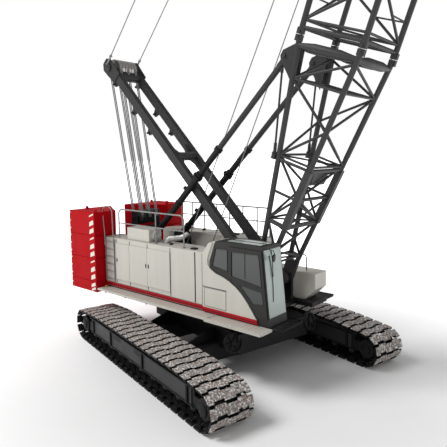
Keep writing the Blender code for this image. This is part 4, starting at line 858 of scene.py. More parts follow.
@dataclass
class Crawler:
    """One crawler: the shoes on their closed line, the frame's ribs, the roller caps and the hubs."""

    side: str
    centre: float
    length: float = 7.83
    end_radius: float = 0.485
    top_rise: float = 0.09
    crown: float = 2.3
    shoes: int = 51
    gap: float = 0.042
    step: float = 0.050
    stations: tuple[float, ...] = (-0.5685, -0.42, -0.15, 0.15, 0.42, 0.5685)
    tread_depths: Outline = ((0.004, 0.955), (0.013, 1.0))
    plate_depths: Outline = ((0.0135, 1.0), (0.062, 0.985))
    links: tuple[tuple[float, tuple[float, float, float], float], ...] = (
        (0.47, (0.085, 0.045, 0.03), 0.092), (0.24, (0.125, 0.06, 0.045), 0.107),
        (0.0, (0.05, 0.09, 0.035), 0.097))
    frame_face: float = 0.40
    ribs: tuple[float, ...] = (-2.75, -1.45, 0.55, 2.75)
    cap: Outline = ((0.0, 0.085), (0.025, 0.085), (0.04, 0.06), (0.055, 0.055), (0.06, 0.01))
    hub: Outline = (
        (0.0, 0.25), (0.03, 0.25), (0.045, 0.23), (0.05, 0.15), (0.085, 0.14), (0.10, 0.08), (0.105, 0.01))

    def frames(self) -> tuple[Points, Points, float]:
        """Place the shoes evenly round the closed line: two straights, two half circles and a crowned top.

        Returns:
            The shoes' centres, their rotations (along, across, inward) and their pitch.
        """
        centre, radius = self.length / 2 - self.end_radius, self.end_radius
        turn = np.linspace(-np.pi / 2, np.pi / 2, 33)
        front = np.stack([centre + radius * np.cos(turn), radius * (1 + np.sin(turn))], axis=1)
        rear = np.stack([-centre - radius * np.cos(turn), radius * (1 - np.sin(turn))], axis=1)
        top = 2 * radius + self.top_rise
        line = np.concatenate([[[-centre, 0.0]], front, [[self.crown, top], [-self.crown, top]], rear])
        along = np.concatenate([[0.0], np.cumsum(np.linalg.norm(np.diff(line, axis=0), axis=1))])
        pitch = along[-1] / self.shoes

        def at(distance: Points) -> Points:
            """Return the points of the line at distances along it."""
            return np.stack([np.interp(distance % along[-1], along, part) for part in line.T], axis=1)

        middle = (np.arange(self.shoes) + 0.5) * pitch
        ahead, behind = at(middle + pitch * 0.42), at(middle - pitch * 0.42)
        run = (ahead - behind) / np.linalg.norm(ahead - behind, axis=1, keepdims=True)
        place, (x, z) = (ahead + behind) / 2, run.T
        axes = np.stack([row(x, 0.0, z), row(0 * x, 1.0, 0.0), row(-z, 0.0, x)], axis=2)
        return row(place[:, 0], self.centre, place[:, 1]), axes, pitch

    def shoe_rings(self, pitch: float, levels: Sequence[tuple[float, float]]) -> Points:
        """Return a shoe's plate: an outline whose long edges step so that neighbours interlock, drawn inward.

        Args:
            pitch: spacing of the shoes.
            levels: depths with the outline's share of its full size at each.

        Returns:
            The outline at each depth.
        """
        across = np.repeat(np.array(self.stations), 2)[1:-1]
        lead = np.repeat(np.where(np.arange(len(self.stations) - 1) % 2, self.step, 0.0), 2)
        half = (pitch - self.gap) / 2 - self.step / 2
        edge = np.stack([half + lead, across], axis=1)
        back = np.stack([lead - half, across], axis=1)[::-1]
        x, y = np.concatenate([edge, back]).T
        return np.stack([row(x * share, y * (1 + (share - 1) * 0.3), depth) for depth, share in levels])

    def build(self, kit: Kit) -> None:
        """Build the shoes, the links under them and the frame's trim."""
        places, axes, pitch = self.frames()
        treads, shoes = Solids(), Solids()
        for solids, levels in ((treads, self.tread_depths), (shoes, self.plate_depths)):
            solids.lofted(np.einsum("nij,skj->nski", axes, self.shoe_rings(pitch, levels)) + places[
                :, None, None])
        for across, half, depth in self.links:
            for sign in (-1, 1) if across else (1,):
                offset = np.einsum("nij,j->ni", axes, np.array([0.0, sign * across, depth]))
                shoes.boxes(places + offset, half, axes)
        name = f"{self.side}_track"
        kit.ground(f"{name}_shoes", shoes, kit.palette.black, name, replaces=[name], sharp=25)
        kit.ground(f"{name}_treads", treads, kit.palette.shoe, name, sharp=25)
        self.trim(kit)

    def trim(self, kit: Kit) -> None:
        """Build the ribs, flanges, roller caps and hubs on both faces of the frame."""
        frame, caps = Solids(), Solids()
        for sign in (-1, 1):
            face = self.centre + sign * self.frame_face
            frame.boxes(row(self.ribs, face + sign * 0.035, 0.58), (0.03, 0.035, 0.19))
            frame.boxes(row((-1.05, 0.25), face + sign * 0.026, 0.70), (0.24, 0.003, 0.07))
            for level, depth in ((0.80, 0.055), (0.36, 0.045)):
                frame.boxes([[0.0, face + sign * depth / 2, level]], (2.98, depth / 2, 0.016))
            caps.boxes([[0.0, face + sign * 0.012, 0.58]], (2.9, 0.012, 0.20))
            for x in np.linspace(-2.85, 2.85, 10):
                caps.turned(self.cap, (x, self.centre + sign * 0.33, 0.28), sign * ACROSS, 20)
            for end in (-1, 1):
                hub = np.array([end * (self.length / 2 - self.end_radius), face, self.end_radius])
                frame.turned(self.hub, hub, sign * ACROSS, 36)
                turn = np.arange(12) * np.pi / 6
                bolts = hub + row(0.20 * np.cos(turn), sign * 0.02, 0.20 * np.sin(turn))
                caps.tubes(bolts, bolts + sign * 0.04 * ACROSS, 0.018, 6)
        name = f"{self.side}_track_frame"
        kit.ground(f"{name}_ribs", frame, kit.palette.black, name, bevel=0.006)
        kit.ground(f"{name}_caps", caps, kit.palette.steel, name)
        kit.repaint(kit.palette.black, name, f"{self.side}_rollers")
        kit.repaint(kit.palette.steel, f"{self.side}_sprocket", f"{self.side}_idler")


@dataclass
class Carbody:
    """The body between the crawlers: its bolted ring, its webs and the round pads carried on its front."""

    bolts: int = 48
    bolt_circle: float = 1.03
    bolt_level: float = 1.415
    web_places: tuple[float, float] = (-1.05, 1.05)
    web: Outline = ((1.21, 0.84), (2.28, 0.84), (2.28, 0.90), (1.30, 1.22), (1.21, 1.22))
    pad: Outline = (
        (0.0, 0.05), (0.03, 0.25), (0.07, 0.265), (0.10, 0.265), (0.105, 0.225), (0.065, 0.215), (0.06, 0.06),
        (0.12, 0.05), (0.125, 0.01))
    spoke: float = 0.22

    def build(self, kit: Kit) -> None:
        """Build the bolts, webs and pads, and dress the nodes."""
        black, machined = kit.palette.black, kit.palette.machined
        turn = np.arange(self.bolts) * 2 * np.pi / self.bolts
        bolts = row(self.bolt_circle * np.cos(turn), self.bolt_circle * np.sin(turn), self.bolt_level)
        heads = Solids().tubes(bolts, bolts + UP * 0.035, 0.018, 6)
        kit.ground("ring_bolts", heads, machined, "slewing_ring")
        webs, pads = Solids(), Solids()
        mirrored = [(-y, z) for y, z in (self.web[0], *self.web[:0:-1])]
        for x in self.web_places:
            for outline in (mirrored, self.web):
                webs.slab(outline, Plane.YZ, x - 0.03, x + 0.03)
        kit.ground("carbody_webs", webs, black, "carbody", bevel=0.006)
        for side in (-1, 1):
            centre, axis = np.array([2.06, side * 1.36, 1.12]), np.array([0.94, side * 0.18, 0.30])
            pads.turned(self.pad, centre, axis, 36)
            axis = axis / np.linalg.norm(axis)
            across = np.cross(axis, UP)
            across /= np.linalg.norm(across)
            up = np.cross(across, axis)
            turn = np.arange(6)[:, None] * np.pi / 3
            tips = centre + axis * 0.085 + self.spoke * (np.cos(turn) * across + np.sin(turn) * up)
            pads.tubes(np.tile(centre + axis * 0.085, (6, 1)), tips, 0.018, 8)
        kit.ground("float_pads", pads, black, "front_carbody_weight")
        for end in ("front", "rear"):
            kit.rounded(f"{end}_carbody_weight", black, "undercarriage", 0.03)
        kit.repaint(black, "carbody")
        kit.repaint(machined, "slewing_ring")


@dataclass(frozen=True)
class Leaf:
    """A cabinet door: its node, its side of the house, and where its latch and hinges are."""

    node: str
    side: int
    latch: float
    hinge: float
    levels: tuple[float, float] = (2.12, 3.0)


@dataclass(frozen=True)
class Band:
    """A length of stripe: its rear end, the low and high front corners of both lines, and its faces."""

    side: int
    rear: float
    wide: tuple[float, float]
    thin: tuple[float, float]
    inner: float
    outer: float


@dataclass
class House:
    """The machinery house: cabinets with their doors, stripe, ladder, rails, walkways and roof equipment."""

    outer: float = 1.606
    top: float = 3.29
    rail_top: float = 4.20
    rail_middle: float = 3.76
    rail_bend: float = 0.16
    rail_lines: tuple[tuple[str, float, tuple[float, ...]], ...] = (
        ("right", -1.45, (-3.23, -1.50, -0.33)),
        ("left", 1.56, (-3.43, -2.88, -2.30, -1.72, -1.15, -0.58, 0.0, 0.50)))
    door_proud: float = 0.0315
    latch_level: float = 2.60
    leaves: tuple[Leaf, ...] = (
        Leaf("right_rear_door", -1, -3.15, -2.60), Leaf("right_middle_door", -1, -1.77, -2.50, (2.24, 2.88)),
        Leaf("right_front_door", -1, -1.66, -0.79), Leaf("left_door", 1, -1.66, -0.79))
    stripe: tuple[float, float] = (1.715, 1.83)
    stripe_line: tuple[float, float] = (1.755, 1.772)
    line_depth: float = 0.003
    bands: tuple[Band, ...] = (
        Band(-1, 0.56, (2.42, 2.375), (2.405, 2.40), 1.666, 1.676),
        Band(-1, -3.72, (0.545, 0.545), (0.545, 0.545), 1.608, 1.614),
        Band(1, -3.72, (0.545, 0.545), (0.545, 0.545), 1.608, 1.614))
    seams: tuple[tuple[float, float], ...] = (
        (0.235, 0.020), (0.50, 0.005), (-3.20, 0.010), (-2.55, 0.012), (-1.72, 0.012), (-0.74, 0.012))
    ladder_sides: tuple[float, float] = (-3.71, -3.29)
    lamp: Outline = ((0.0, 0.045), (0.05, 0.045), (0.09, 0.03), (0.095, 0.01))
    roof_plates: tuple[tuple[float, float, float, float], ...] = (
        (-3.35, -1.25, 0.42, 0.28), (-0.62, -1.22, 0.30, 0.24), (-1.2, 1.25, 0.40, 0.26),
        (-3.0, 1.25, 0.36, 0.26), (-0.1, 1.25, 0.30, 0.26))
    grille_radii: tuple[float, ...] = (0.155, 0.12, 0.085)
    grille_step: float = 0.021
    walkway_fronts: tuple[tuple[str, int, float], ...] = (("right", -1, 2.79), ("left", 1, 2.50))
    rib_pitch: float = 0.11

    def build(self, kit: Kit) -> None:
        """Build everything on the deck apart from the cab and the winches."""
        for node in ("right_cabinet", "left_cabinet"):
            kit.rounded(node, kit.palette.cream, "upperworks", 0.012)
        for leaf in self.leaves:
            self.door(kit, leaf)
        self.stripes(kit)
        kit.repaint(kit.palette.black, "engine_block")
        kit.repaint(kit.palette.black, "upper_frame")
        kit.rounded("front_left_box", kit.palette.cream, "upperworks", 0.02)
        self.rails(kit)
        self.ladder(kit)
        self.roof(kit)
        for label, side, front in self.walkway_fronts:
            self.walkway(kit, f"{label}_walkway", side, front)

    def door(self, kit: Kit, leaf: Leaf) -> None:
        """Round one door and add its flat latch and its two hinge knuckles.

        Args:
            kit: what it is built with.
            leaf: the door.
        """
        node, upper = leaf.node, kit.places.upper
        kit.rounded(node, kit.palette.cream, node, 0.006)
        face = leaf.side * (self.outer + self.door_proud)
        latch = Solids()
        latch.boxes([[leaf.latch, face, self.latch_level]], (0.024, 0.003, 0.060))
        latch.boxes([[leaf.latch, face + leaf.side * 0.002, self.latch_level]], (0.011, 0.003, 0.036))
        kit.shop.piece(f"{node}_latch", latch, upper, kit.palette.black, node, node, bevel=0.003)
        hinge = Solids()
        for level in leaf.levels:
            knuckle = np.array([leaf.hinge, face - leaf.side * 0.005, level])
            hinge.tubes([knuckle - UP * 0.05], [knuckle + UP * 0.05], 0.008, 10)
        kit.shop.piece(f"{node}_hinges", hinge, upper, kit.palette.cream, node, node)

    def stripes(self, kit: Kit) -> None:
        """Lay the stripe with its dark line along both sides, and the dark seams between the panels."""
        stripe, line, gaps = Solids(), Solids(), Solids()
        for band in self.bands:
            for solids, levels, fronts, faces in (
                    (stripe, self.stripe, band.wide, (band.inner, band.outer)),
                    (line, self.stripe_line, band.thin, (band.outer, band.outer + self.line_depth))):
                low, high = levels
                solids.slab([(band.rear, low), (fronts[0], low), (fronts[1], high), (band.rear, high)],
                            Plane.XZ, *span(band.side, *faces))
        for side in (-1, 1):
            for x, half in self.seams:
                gaps.boxes([[x, side * (self.outer + 0.001), 2.56]], (half, 0.002, 0.70))
            gaps.boxes([[-1.6, side * (self.outer + 0.001), 1.84]], (2.1, 0.002, 0.005))
        kit.upper("house_stripe", stripe, kit.palette.stripe, "right_cabinet")
        kit.upper("house_stripe_line", line, kit.palette.black, "right_cabinet")
        kit.upper("house_gaps", gaps, kit.palette.rubber, "right_cabinet")

    def rails(self, kit: Kit) -> None:
        """Build the roof rails: a top tube bent down into the end posts, a middle tube, posts and feet."""
        top, middle, roof, bend = self.rail_top, self.rail_middle, self.top, self.rail_bend
        turn = np.linspace(0.0, np.pi / 2, 7)
        out, over = bend * np.cos(turn), bend * np.sin(turn)
        for label, line, posts in self.rail_lines:
            rails, feet = Solids(), row(posts, line, roof)
            rise = row(posts[0] + bend - out, line, top - bend + over)
            fall = row(posts[-1] - bend + over, line, top - bend + out)
            rails.bent(np.concatenate([feet[:1], rise, fall, feet[-1:]]), 0.022, 12)
            rails.tubes([[posts[0], line, middle]], [[posts[-1], line, middle]], 0.018, 10)
            rails.tubes(feet[1:-1], feet[1:-1] + UP * (top - roof), 0.020, 12)
            rails.tubes(feet + UP * 0.0005, feet + UP * 0.018, 0.05, 16)
            name = f"{label}_handrail"
            kit.upper(f"{name}_tubes", rails, kit.palette.rail, name, replaces=[name])

    def ladder(self, kit: Kit) -> None:
        """Build the ladder on the right rear corner with its grab loop, the lamp and the front loop."""
        ladder, skin = Solids(), -self.outer - 0.045
        rear, front = self.ladder_sides
        rung = row(rear, skin, np.arange(1.95, 3.2, 0.24))
        ladder.tubes(rung, rung + ALONG * (front - rear), 0.013, 10)
        for x in self.ladder_sides:
            ladder.boxes([[x, skin + 0.02, 2.55]], (0.008, 0.022, 0.68))
        turn = np.linspace(np.pi, 0.0, 13)
        loop = row(-3.56 + 0.25 * np.cos(turn), skin - 0.005, 4.10 + 0.19 * np.sin(turn))
        rise = [[-3.72, skin, 3.02], [-3.73, skin, 3.4]]
        fall = [[-3.295, skin, 3.4], [-3.29, skin, 3.02]]
        ladder.bent(np.concatenate([rise, loop, fall]), 0.017, 12)
        kit.upper("ladder", ladder, kit.palette.rail, "right_cabinet")
        lamp = Solids().turned(self.lamp, (-3.60, -1.75, 1.64), UP, 20)
        kit.upper("marker_lamp", lamp, kit.palette.amber, "right_walkway")
        bend = [(1.72, 2.50), (1.72, 2.86), (1.75, 2.94), (1.83, 2.97), (1.94, 2.97), (2.02, 2.94),
                (2.05, 2.86),
                (2.05, 2.50)]
        far = Solids().bent([(x, 1.22, z) for x, z in bend], 0.016, 10)
        kit.upper("front_grab_loop", far, kit.palette.black, "front_left_box")

    def roof(self, kit: Kit) -> None:
        """Build the intake's ribbed cover, the exhaust bend, the filler caps, the vents and the plates."""
        kit.rounded("air_cleaner", kit.palette.cream, "upperworks", 0.03)
        roof, grille, duct = self.top, Solids(), Solids()
        for step, radius in enumerate(self.grille_radii):
            grille.turned([(0.0, radius), (0.012, radius), (0.02, radius - 0.012), (0.021, radius - 0.02)],
                          (-1.655 + step * self.grille_step, -1.25, 3.48), ALONG, 32)
        kit.upper("intake_cover", grille, kit.palette.silver, "air_cleaner")
        path = [[-1.28, -1.22, 3.292], [-1.27, -1.21, 3.36], [-1.20, -1.16, 3.42], [-1.06, -1.07, 3.44],
                [-0.92, -0.99, 3.46], [-0.80, -0.92, 3.52], [-0.73, -0.88, 3.60]]
        duct.bent(path, np.array([0.09, 0.09, 0.09, 0.085, 0.08, 0.07, 0.065]), 24)
        duct.turned([(0.0, 0.15), (0.02, 0.15), (0.03, 0.11)], (-1.28, -1.22, 3.291), UP)
        kit.upper("exhaust_bend", duct, kit.palette.silver, "right_cabinet")
        vents, plates = Solids(), Solids()
        vents.boxes(row((0.02, -0.62, -2.9), (-1.40, 1.25, 1.2), roof + 0.021), (0.09, 0.07, 0.02))
        for x, y in ((-0.95, -1.35), (-2.1, 1.3), (0.30, -1.15)):
            vents.turned([(0.0, 0.06), (0.03, 0.06), (0.05, 0.045), (0.055, 0.01)], (x, y, roof + 0.001), UP,
                         24)
        kit.upper("roof_caps", vents, kit.palette.black, "right_cabinet", bevel=0.004)
        for x, y, width, depth in self.roof_plates:
            plates.boxes([[x, y, roof + 0.006]], (width, depth, 0.005))
        kit.upper("roof_plates", plates, kit.palette.cream, "right_cabinet", bevel=0.004)

    def walkway(self, kit: Kit, name: str, side: int, front: float) -> None:
        """Round one walkway and lay its anti-slip ribs, kick edge and brackets.

        Args:
            kit: what it is built with.
            name: its node.
            side: its side of the house, 1 to the left.
            front: where its front end is.
        """
        # Painted shade: the left walkway, on the far side, is black so that it reads as shade; the right one is
        # cream.
        finish = kit.palette.cream if side < 0 else kit.palette.black
        low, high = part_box(name)
        kit.rounded(name, finish, "upperworks", 0.01)
        level = float(kit.places.upper.local(np.array([low, high]))[:, 2].max())
        trim, stays = Solids(), Solids()
        ribs = np.arange(-3.6, front - 0.08, self.rib_pitch)
        trim.boxes(row(ribs, side * 1.825, level + 0.004), (0.012, 0.17, 0.0035))
        trim.boxes([[-0.45, side * 2.022, level + 0.006]], ((front + 3.6) / 2 - 0.05, 0.006, 0.006))
        if side < 0:
            trim.boxes([[1.89, -1.90, level - 0.031]], (0.90, 0.20, 0.028))
        trim.boxes(row((1.0, 1.04), side * 1.83, level + 0.008), (0.008, 0.19, 0.008))
        kit.upper(f"{name}_ribs", trim, finish, name)
        for x in np.linspace(-3.4, front - 0.35, 7):
            stays.slab([(x - 0.02, level - 0.062), (x + 0.02, level - 0.062), (x + 0.02, level - 0.12),
                        (x - 0.02, level - 0.12)], Plane.XZ, *span(side, 1.62, 1.95))
        kit.upper(f"{name}_stays", stays, kit.palette.black, name, bevel=0.004)


@dataclass
class Cab:
    """The operator's cab: quarter panel, seals, extra panes, wiper, mirror, steps and seat."""

    outer: float = 1.63
    inner: float = 0.86
    rear_window: Outline = ((0.88, 2.98), (1.41, 2.90), (1.41, 3.47), (1.01, 3.47))
    left_window: Outline = ((0.95, 2.55), (2.45, 2.55), (2.36, 3.45), (1.05, 3.45))
    door_window: Outline = ((1.57, 2.81), (2.52, 2.67), (2.43, 3.47), (1.57, 3.45))
    low_window: Outline = ((1.80, 2.64), (2.25, 2.20), (2.575, 2.24), (2.535, 2.55))
    hatch: Outline = ((1.28, -1.52), (2.38, -1.52), (2.38, -0.97), (1.28, -0.97))
    hatch_level: float = 3.662
    front_foot: tuple[float, float] = (2.74, 1.70)
    front_head: tuple[float, float] = (2.515, 3.66)
    pane_levels: tuple[float, float] = (1.92, 3.58)
    sweep: Outline = (
        (0.56, 1.72), (2.375, 1.72), (2.36, 1.83), (2.23, 2.00), (2.02, 2.26), (1.86, 2.42), (1.69, 2.545),
        (1.48, 2.66), (1.25, 2.745), (1.02, 2.80), (0.84, 2.90), (0.755, 3.00), (0.745, 3.16), (0.78, 3.26),
        (0.93, 3.62), (0.80, 3.60), (0.60, 3.34), (0.56, 3.28))
    post: Outline = (
        (0.565, 1.72), (0.785, 1.72), (0.785, 3.10), (0.99, 3.64), (0.90, 3.64), (0.60, 3.33), (0.565, 3.29))
    console: Outline = ((2.15, 1.78), (2.52, 1.78), (2.48, 2.45), (2.30, 2.62), (2.18, 2.50))
    armrest: Outline = ((1.15, 2.28), (1.75, 2.28), (1.80, 2.42), (1.15, 2.40))
    knob: Outline = ((0.0, 0.02), (0.03, 0.034), (0.07, 0.034), (0.10, 0.015))
    stand: Outline = ((1.18, 1.75), (1.56, 1.75), (1.50, 2.04), (1.22, 2.04))

    def front(self, level: float) -> float:
        """Return how far forward the cab's front face is at a level."""
        (foot_x, foot_z), (head_x, head_z) = self.front_foot, self.front_head
        return foot_x - (level - foot_z) * (foot_x - head_x) / (head_z - foot_z)

    def seal(self, window: Outline, y: float) -> Points:
        """Return the closed line of a seal round a window at a place across the cab."""
        flat = np.array([*window, window[0]], float)
        return row(flat[:, 0], y, flat[:, 1])

    def build(self, kit: Kit) -> None:
        """Build the cab's pieces and dress its nodes."""
        palette = kit.palette
        kit.repaint(palette.charcoal, "cab_shell")
        kit.rounded("cab_door", palette.charcoal, "cab_door", 0.008)
        kit.repaint(palette.glass, "door_window", "door_low_window")
        kit.repaint(palette.glass_painted_reflection, "windshield")
        self.panel(kit)
        self.panes(kit)
        self.fittings(kit)
        self.seat(kit)

    def panes(self, kit: Kit) -> None:
        """Build the side, front and roof panes, and the rubber round every window."""
        palette, panes = kit.palette, Solids()
        panes.slab(self.rear_window, Plane.XZ, -self.outer + 0.012, -self.outer + 0.020)
        panes.slab(self.left_window, Plane.XZ, -self.inner - 0.020, -self.inner - 0.012)
        kit.upper("cab_side_panes", panes, palette.glass, "windshield")
        low, high = self.pane_levels
        front = [(self.front(level) + proud, level)
                 for level, proud in ((low, 0.004), (low, 0.010), (high, 0.010), (high, 0.004))]
        pane = Solids().slab(front, Plane.XZ, -1.60, -0.89)
        kit.upper("front_pane", pane, palette.glass_painted_reflection, "windshield")
        hatch = Solids().slab(self.hatch, Plane.XY, self.hatch_level, self.hatch_level + 0.006)
        kit.upper("cab_roof_pane", hatch, palette.roof_glass_painted_reflection, "windshield")
        seals, door = Solids(), Solids()
        for window, y in ((self.rear_window, -self.outer - 0.002), (self.left_window, -self.inner + 0.002)):
            seals.bent(self.seal(window, y), 0.010, 8)
        edge = np.array([*self.hatch, self.hatch[0]])
        seals.bent(row(edge[:, 0], edge[:, 1], self.hatch_level + 0.002), 0.012, 8)
        seals.boxes([[1.83, -1.245, 3.672]], (0.54, 0.008, 0.006))
        kit.upper("cab_seals", seals, palette.rubber, "cab_shell")
        for window in (self.door_window, self.low_window):
            door.bent(self.seal(window, -self.outer - 0.037), 0.010, 8)
        door.boxes([[1.53, -self.outer - 0.048, 2.72]], (0.035, 0.010, 0.016))
        door.boxes([[2.0, -self.outer - 0.026, 3.14]], (0.006, 0.008, 0.32))
        kit.shop.piece("cab_door_trim", door, kit.places.upper, palette.rubber, "cab_door", "cab_door")

    def panel(self, kit: Kit) -> None:
        """Build the pale quarter panel under the cab's swept edge, its post and its service hatch."""
        panel, hatch, joint, skin = Solids(), Solids(), Solids(), -self.outer - 0.038
        panel.slab(self.sweep, Plane.XZ, -self.outer - 0.036, -self.outer - 0.003)
        panel.slab(self.post, Plane.XZ, -self.outer - 0.003, -0.95)
        kit.upper("quarter_panel", panel, kit.palette.cream, "right_cabinet", bevel=0.008)
        hatch.boxes([[1.01, skin, 2.12]], (0.37, 0.004, 0.24))
        kit.upper("service_hatch", hatch, kit.palette.cream, "right_cabinet", bevel=0.004)
        joint.bent(self.seal(((0.63, 1.87), (1.39, 1.87), (1.39, 2.37), (0.63, 2.37)), skin - 0.001), 0.004,
                   6)
        joint.boxes([[0.99, skin - 0.001, 2.395]], (0.42, 0.003, 0.008))
        kit.upper("hatch_joint", joint, kit.palette.rubber, "right_cabinet")

    def fittings(self, kit: Kit) -> None:
        """Build the wiper, the mirror, the front step frame and the console with its levers."""
        black = kit.palette.black
        wiper, mirror, step, console = Solids(), Solids(), Solids(), Solids()
        levels = np.linspace(2.30, 3.42, 9)
        bow = 0.05 * np.sin(np.linspace(0.0, np.pi, 9))
        wiper.bent(row(self.front(levels) + 0.022, -1.40 + bow, levels), 0.009, 8)
        wiper.bent([[self.front(3.56) + 0.02, -1.30, 3.56], [self.front(3.3) + 0.05, -1.33, 3.3],
                    [self.front(2.9) + 0.045, -1.355, 2.9]], 0.010, 8)
        kit.upper("wiper", wiper, black, "cab_shell")
        mirror.bent([[2.50, -1.55, 3.60], [2.62, -1.52, 3.62], [2.72, -1.45, 3.58], [2.74, -1.42, 3.46]],
                    0.011, 10)
        mirror.turned([(0.0, 0.05), (0.01, 0.095), (0.03, 0.10), (0.045, 0.08), (0.05, 0.02)],
                      (2.74, -1.42, 3.40),
                      (-0.95, -0.25, 0.0), 28)
        kit.upper("mirror", mirror, black, "cab_shell")
        outline = ((2.70, -1.58), (2.98, -1.58), (3.05, -1.52), (3.05, -0.66), (2.98, -0.60), (2.70, -0.60))
        step.bent([(x, y, 1.66) for x, y in outline], 0.020, 10)
        for y in (-1.55, -0.95, -0.66):
            step.tubes([[2.60, y, 1.56]], [[3.04, y, 1.655]], 0.016, 10)
        for x in (2.80, 2.88, 2.96):
            step.tubes([[x, -1.56, 1.66]], [[x, -0.62, 1.66]], 0.009, 8)
        kit.upper("front_step", step, black, "upper_frame")
        console.slab(self.console, Plane.XZ, -1.38, -1.10)
        for y in (-1.48, -1.02):
            console.slab(self.armrest, Plane.XZ, y - 0.045, y + 0.045)
            console.tubes([[1.70, y, 2.40]], [[1.76, y, 2.60]], 0.014, 10)
            console.turned(self.knob, (1.76, y, 2.58), (0.15, 0.0, 1.0), 16)
        kit.upper("console", console, kit.palette.rubber, "cab_shell", bevel=0.008)

    def cushion(self, centre: Points, half: Points, tilt: float) -> Solids:
        """Return a crowned pad: a superellipsoid with its cosines raised to 0.42, and sewn channels across it.

        Args:
            centre: its centre.
            half: its half sizes.
            tilt: lean of its upright axis backwards, in degrees.

        Returns:
            The solid.
        """
        high = np.linspace(-np.pi / 2, np.pi / 2, 25)[:, None]
        turn = (np.arange(64) * 2 * np.pi / 64)[None, :]

        def power(value: Points, share: float) -> Points:
            """Return a value's sign times its size raised to a power."""
            return np.sign(value) * np.abs(value) ** share

        ring = np.maximum(power(np.cos(high), 0.42), 1e-3)
        x, y = ring * power(np.cos(turn), 0.42), ring * power(np.sin(turn), 0.42)
        z = power(np.sin(high), 0.62) + 0 * turn
        z = z * (1 - 0.06 * np.exp(-((np.mod(x * 3.0 + 0.5, 1.0) - 0.5) / 0.07) ** 2))
        local = np.stack([x, y, z], axis=2) * half
        c, s = math.cos(math.radians(tilt)), math.sin(math.radians(tilt))
        turned = np.stack([local[..., 0] * c - local[..., 2] * s, local[..., 1],
                           local[..., 0] * s + local[..., 2] * c], axis=2)
        return Solids().lofted(turned + centre)

    def seat(self, kit: Kit) -> None:
        """Build the seat's cushion and back, and the stand under them."""
        line, cloth = -(self.outer + self.inner) / 2, kit.palette.fabric
        pad = self.cushion(np.array([1.37, line, 2.12]), np.array([0.245, 0.24, 0.075]), 0.0)
        made = kit.upper("seat_cushion", pad, cloth, "operator_seat", replaces=["operator_seat"], sharp=180)
        back = self.cushion(np.array([1.17, line, 2.52]), np.array([0.33, 0.20, 0.055]), 80.0)
        made = kit.upper("seat_back", back, cloth, "operator_seat", sharp=180)
        stand = Solids().slab(self.stand, Plane.XZ, line - 0.16, line + 0.16)
        kit.upper("seat_stand", stand, kit.palette.black, "operator_seat", bevel=0.01)


@dataclass
class Ballast:
    """The two counterweight stacks with their warning chips, lifting lugs and clamp rods."""

    tray: tuple[float, float] = (1.50, 1.85)
    slab: float = 0.75
    outer: float = 2.0
    tray_marks: Outline = ((0.06, 0.07), (0.40, 0.11))
    slab_marks: Outline = ((0.05, 0.14), (0.38, 0.14), (0.78, 0.05))

    def build(self, kit: Kit) -> None:
        """Build the stacks' trim and round the stacks."""
        chips, lugs = Solids(), Solids()
        for label, side in (("right", -1), ("left", 1)):
            for part in ("tray", "1", "2", "3"):
                kit.rounded(f"{label}_counterweight_{part}", kit.palette.red, "upperworks", 0.022)
            faces = span(side, self.outer + 0.001, self.outer + 0.006)
            tray, first = self.tray
            tiers = [(tray, first - tray, self.tray_marks, (0.5,))]
            tiers += [(first + tier * self.slab, self.slab, self.slab_marks,
                       (0.2, 0.55, 0.9)) for tier in range(3)]
            for base, height, marks, chip_places in tiers:
                for start, size in marks:
                    low = base + start * height
                    chips.slab([(-4.05, low), (-3.82, low + 0.08), (-3.84, low + 0.08 + size),
                                (-4.03, low + size)],
                               Plane.XZ, *faces)
                for share in chip_places:
                    low = base + share * height - 0.03
                    chips.slab([(-5.15, low), (-5.09, low + 0.02), (-5.09, low + 0.06), (-5.15, low + 0.04)],
                               Plane.XZ, *faces)
            top = first + 3 * self.slab
            for x in (-4.95, -4.10):
                lugs.slab([(x - 0.07, top + 0.001), (x + 0.07, top + 0.001), (x + 0.045, top + 0.075),
                           (x, top + 0.10), (x - 0.045, top + 0.075)], Plane.XZ, *span(side, 1.42, 1.47))
                lugs.tubes([[x, side * 1.40, top + 0.055]], [[x, side * 1.49, top + 0.055]], 0.022, 14)
            rods = row(-3.90, (side * 1.25, side * 1.85), tray)
            lugs.tubes(rods + UP * 2.60, rods + UP * 2.66, 0.05, 6)
        kit.upper("ballast_chips", chips, kit.palette.mark, "right_counterweight_1")
        kit.upper("ballast_lugs", lugs, kit.palette.red, "right_counterweight_3", bevel=0.005)


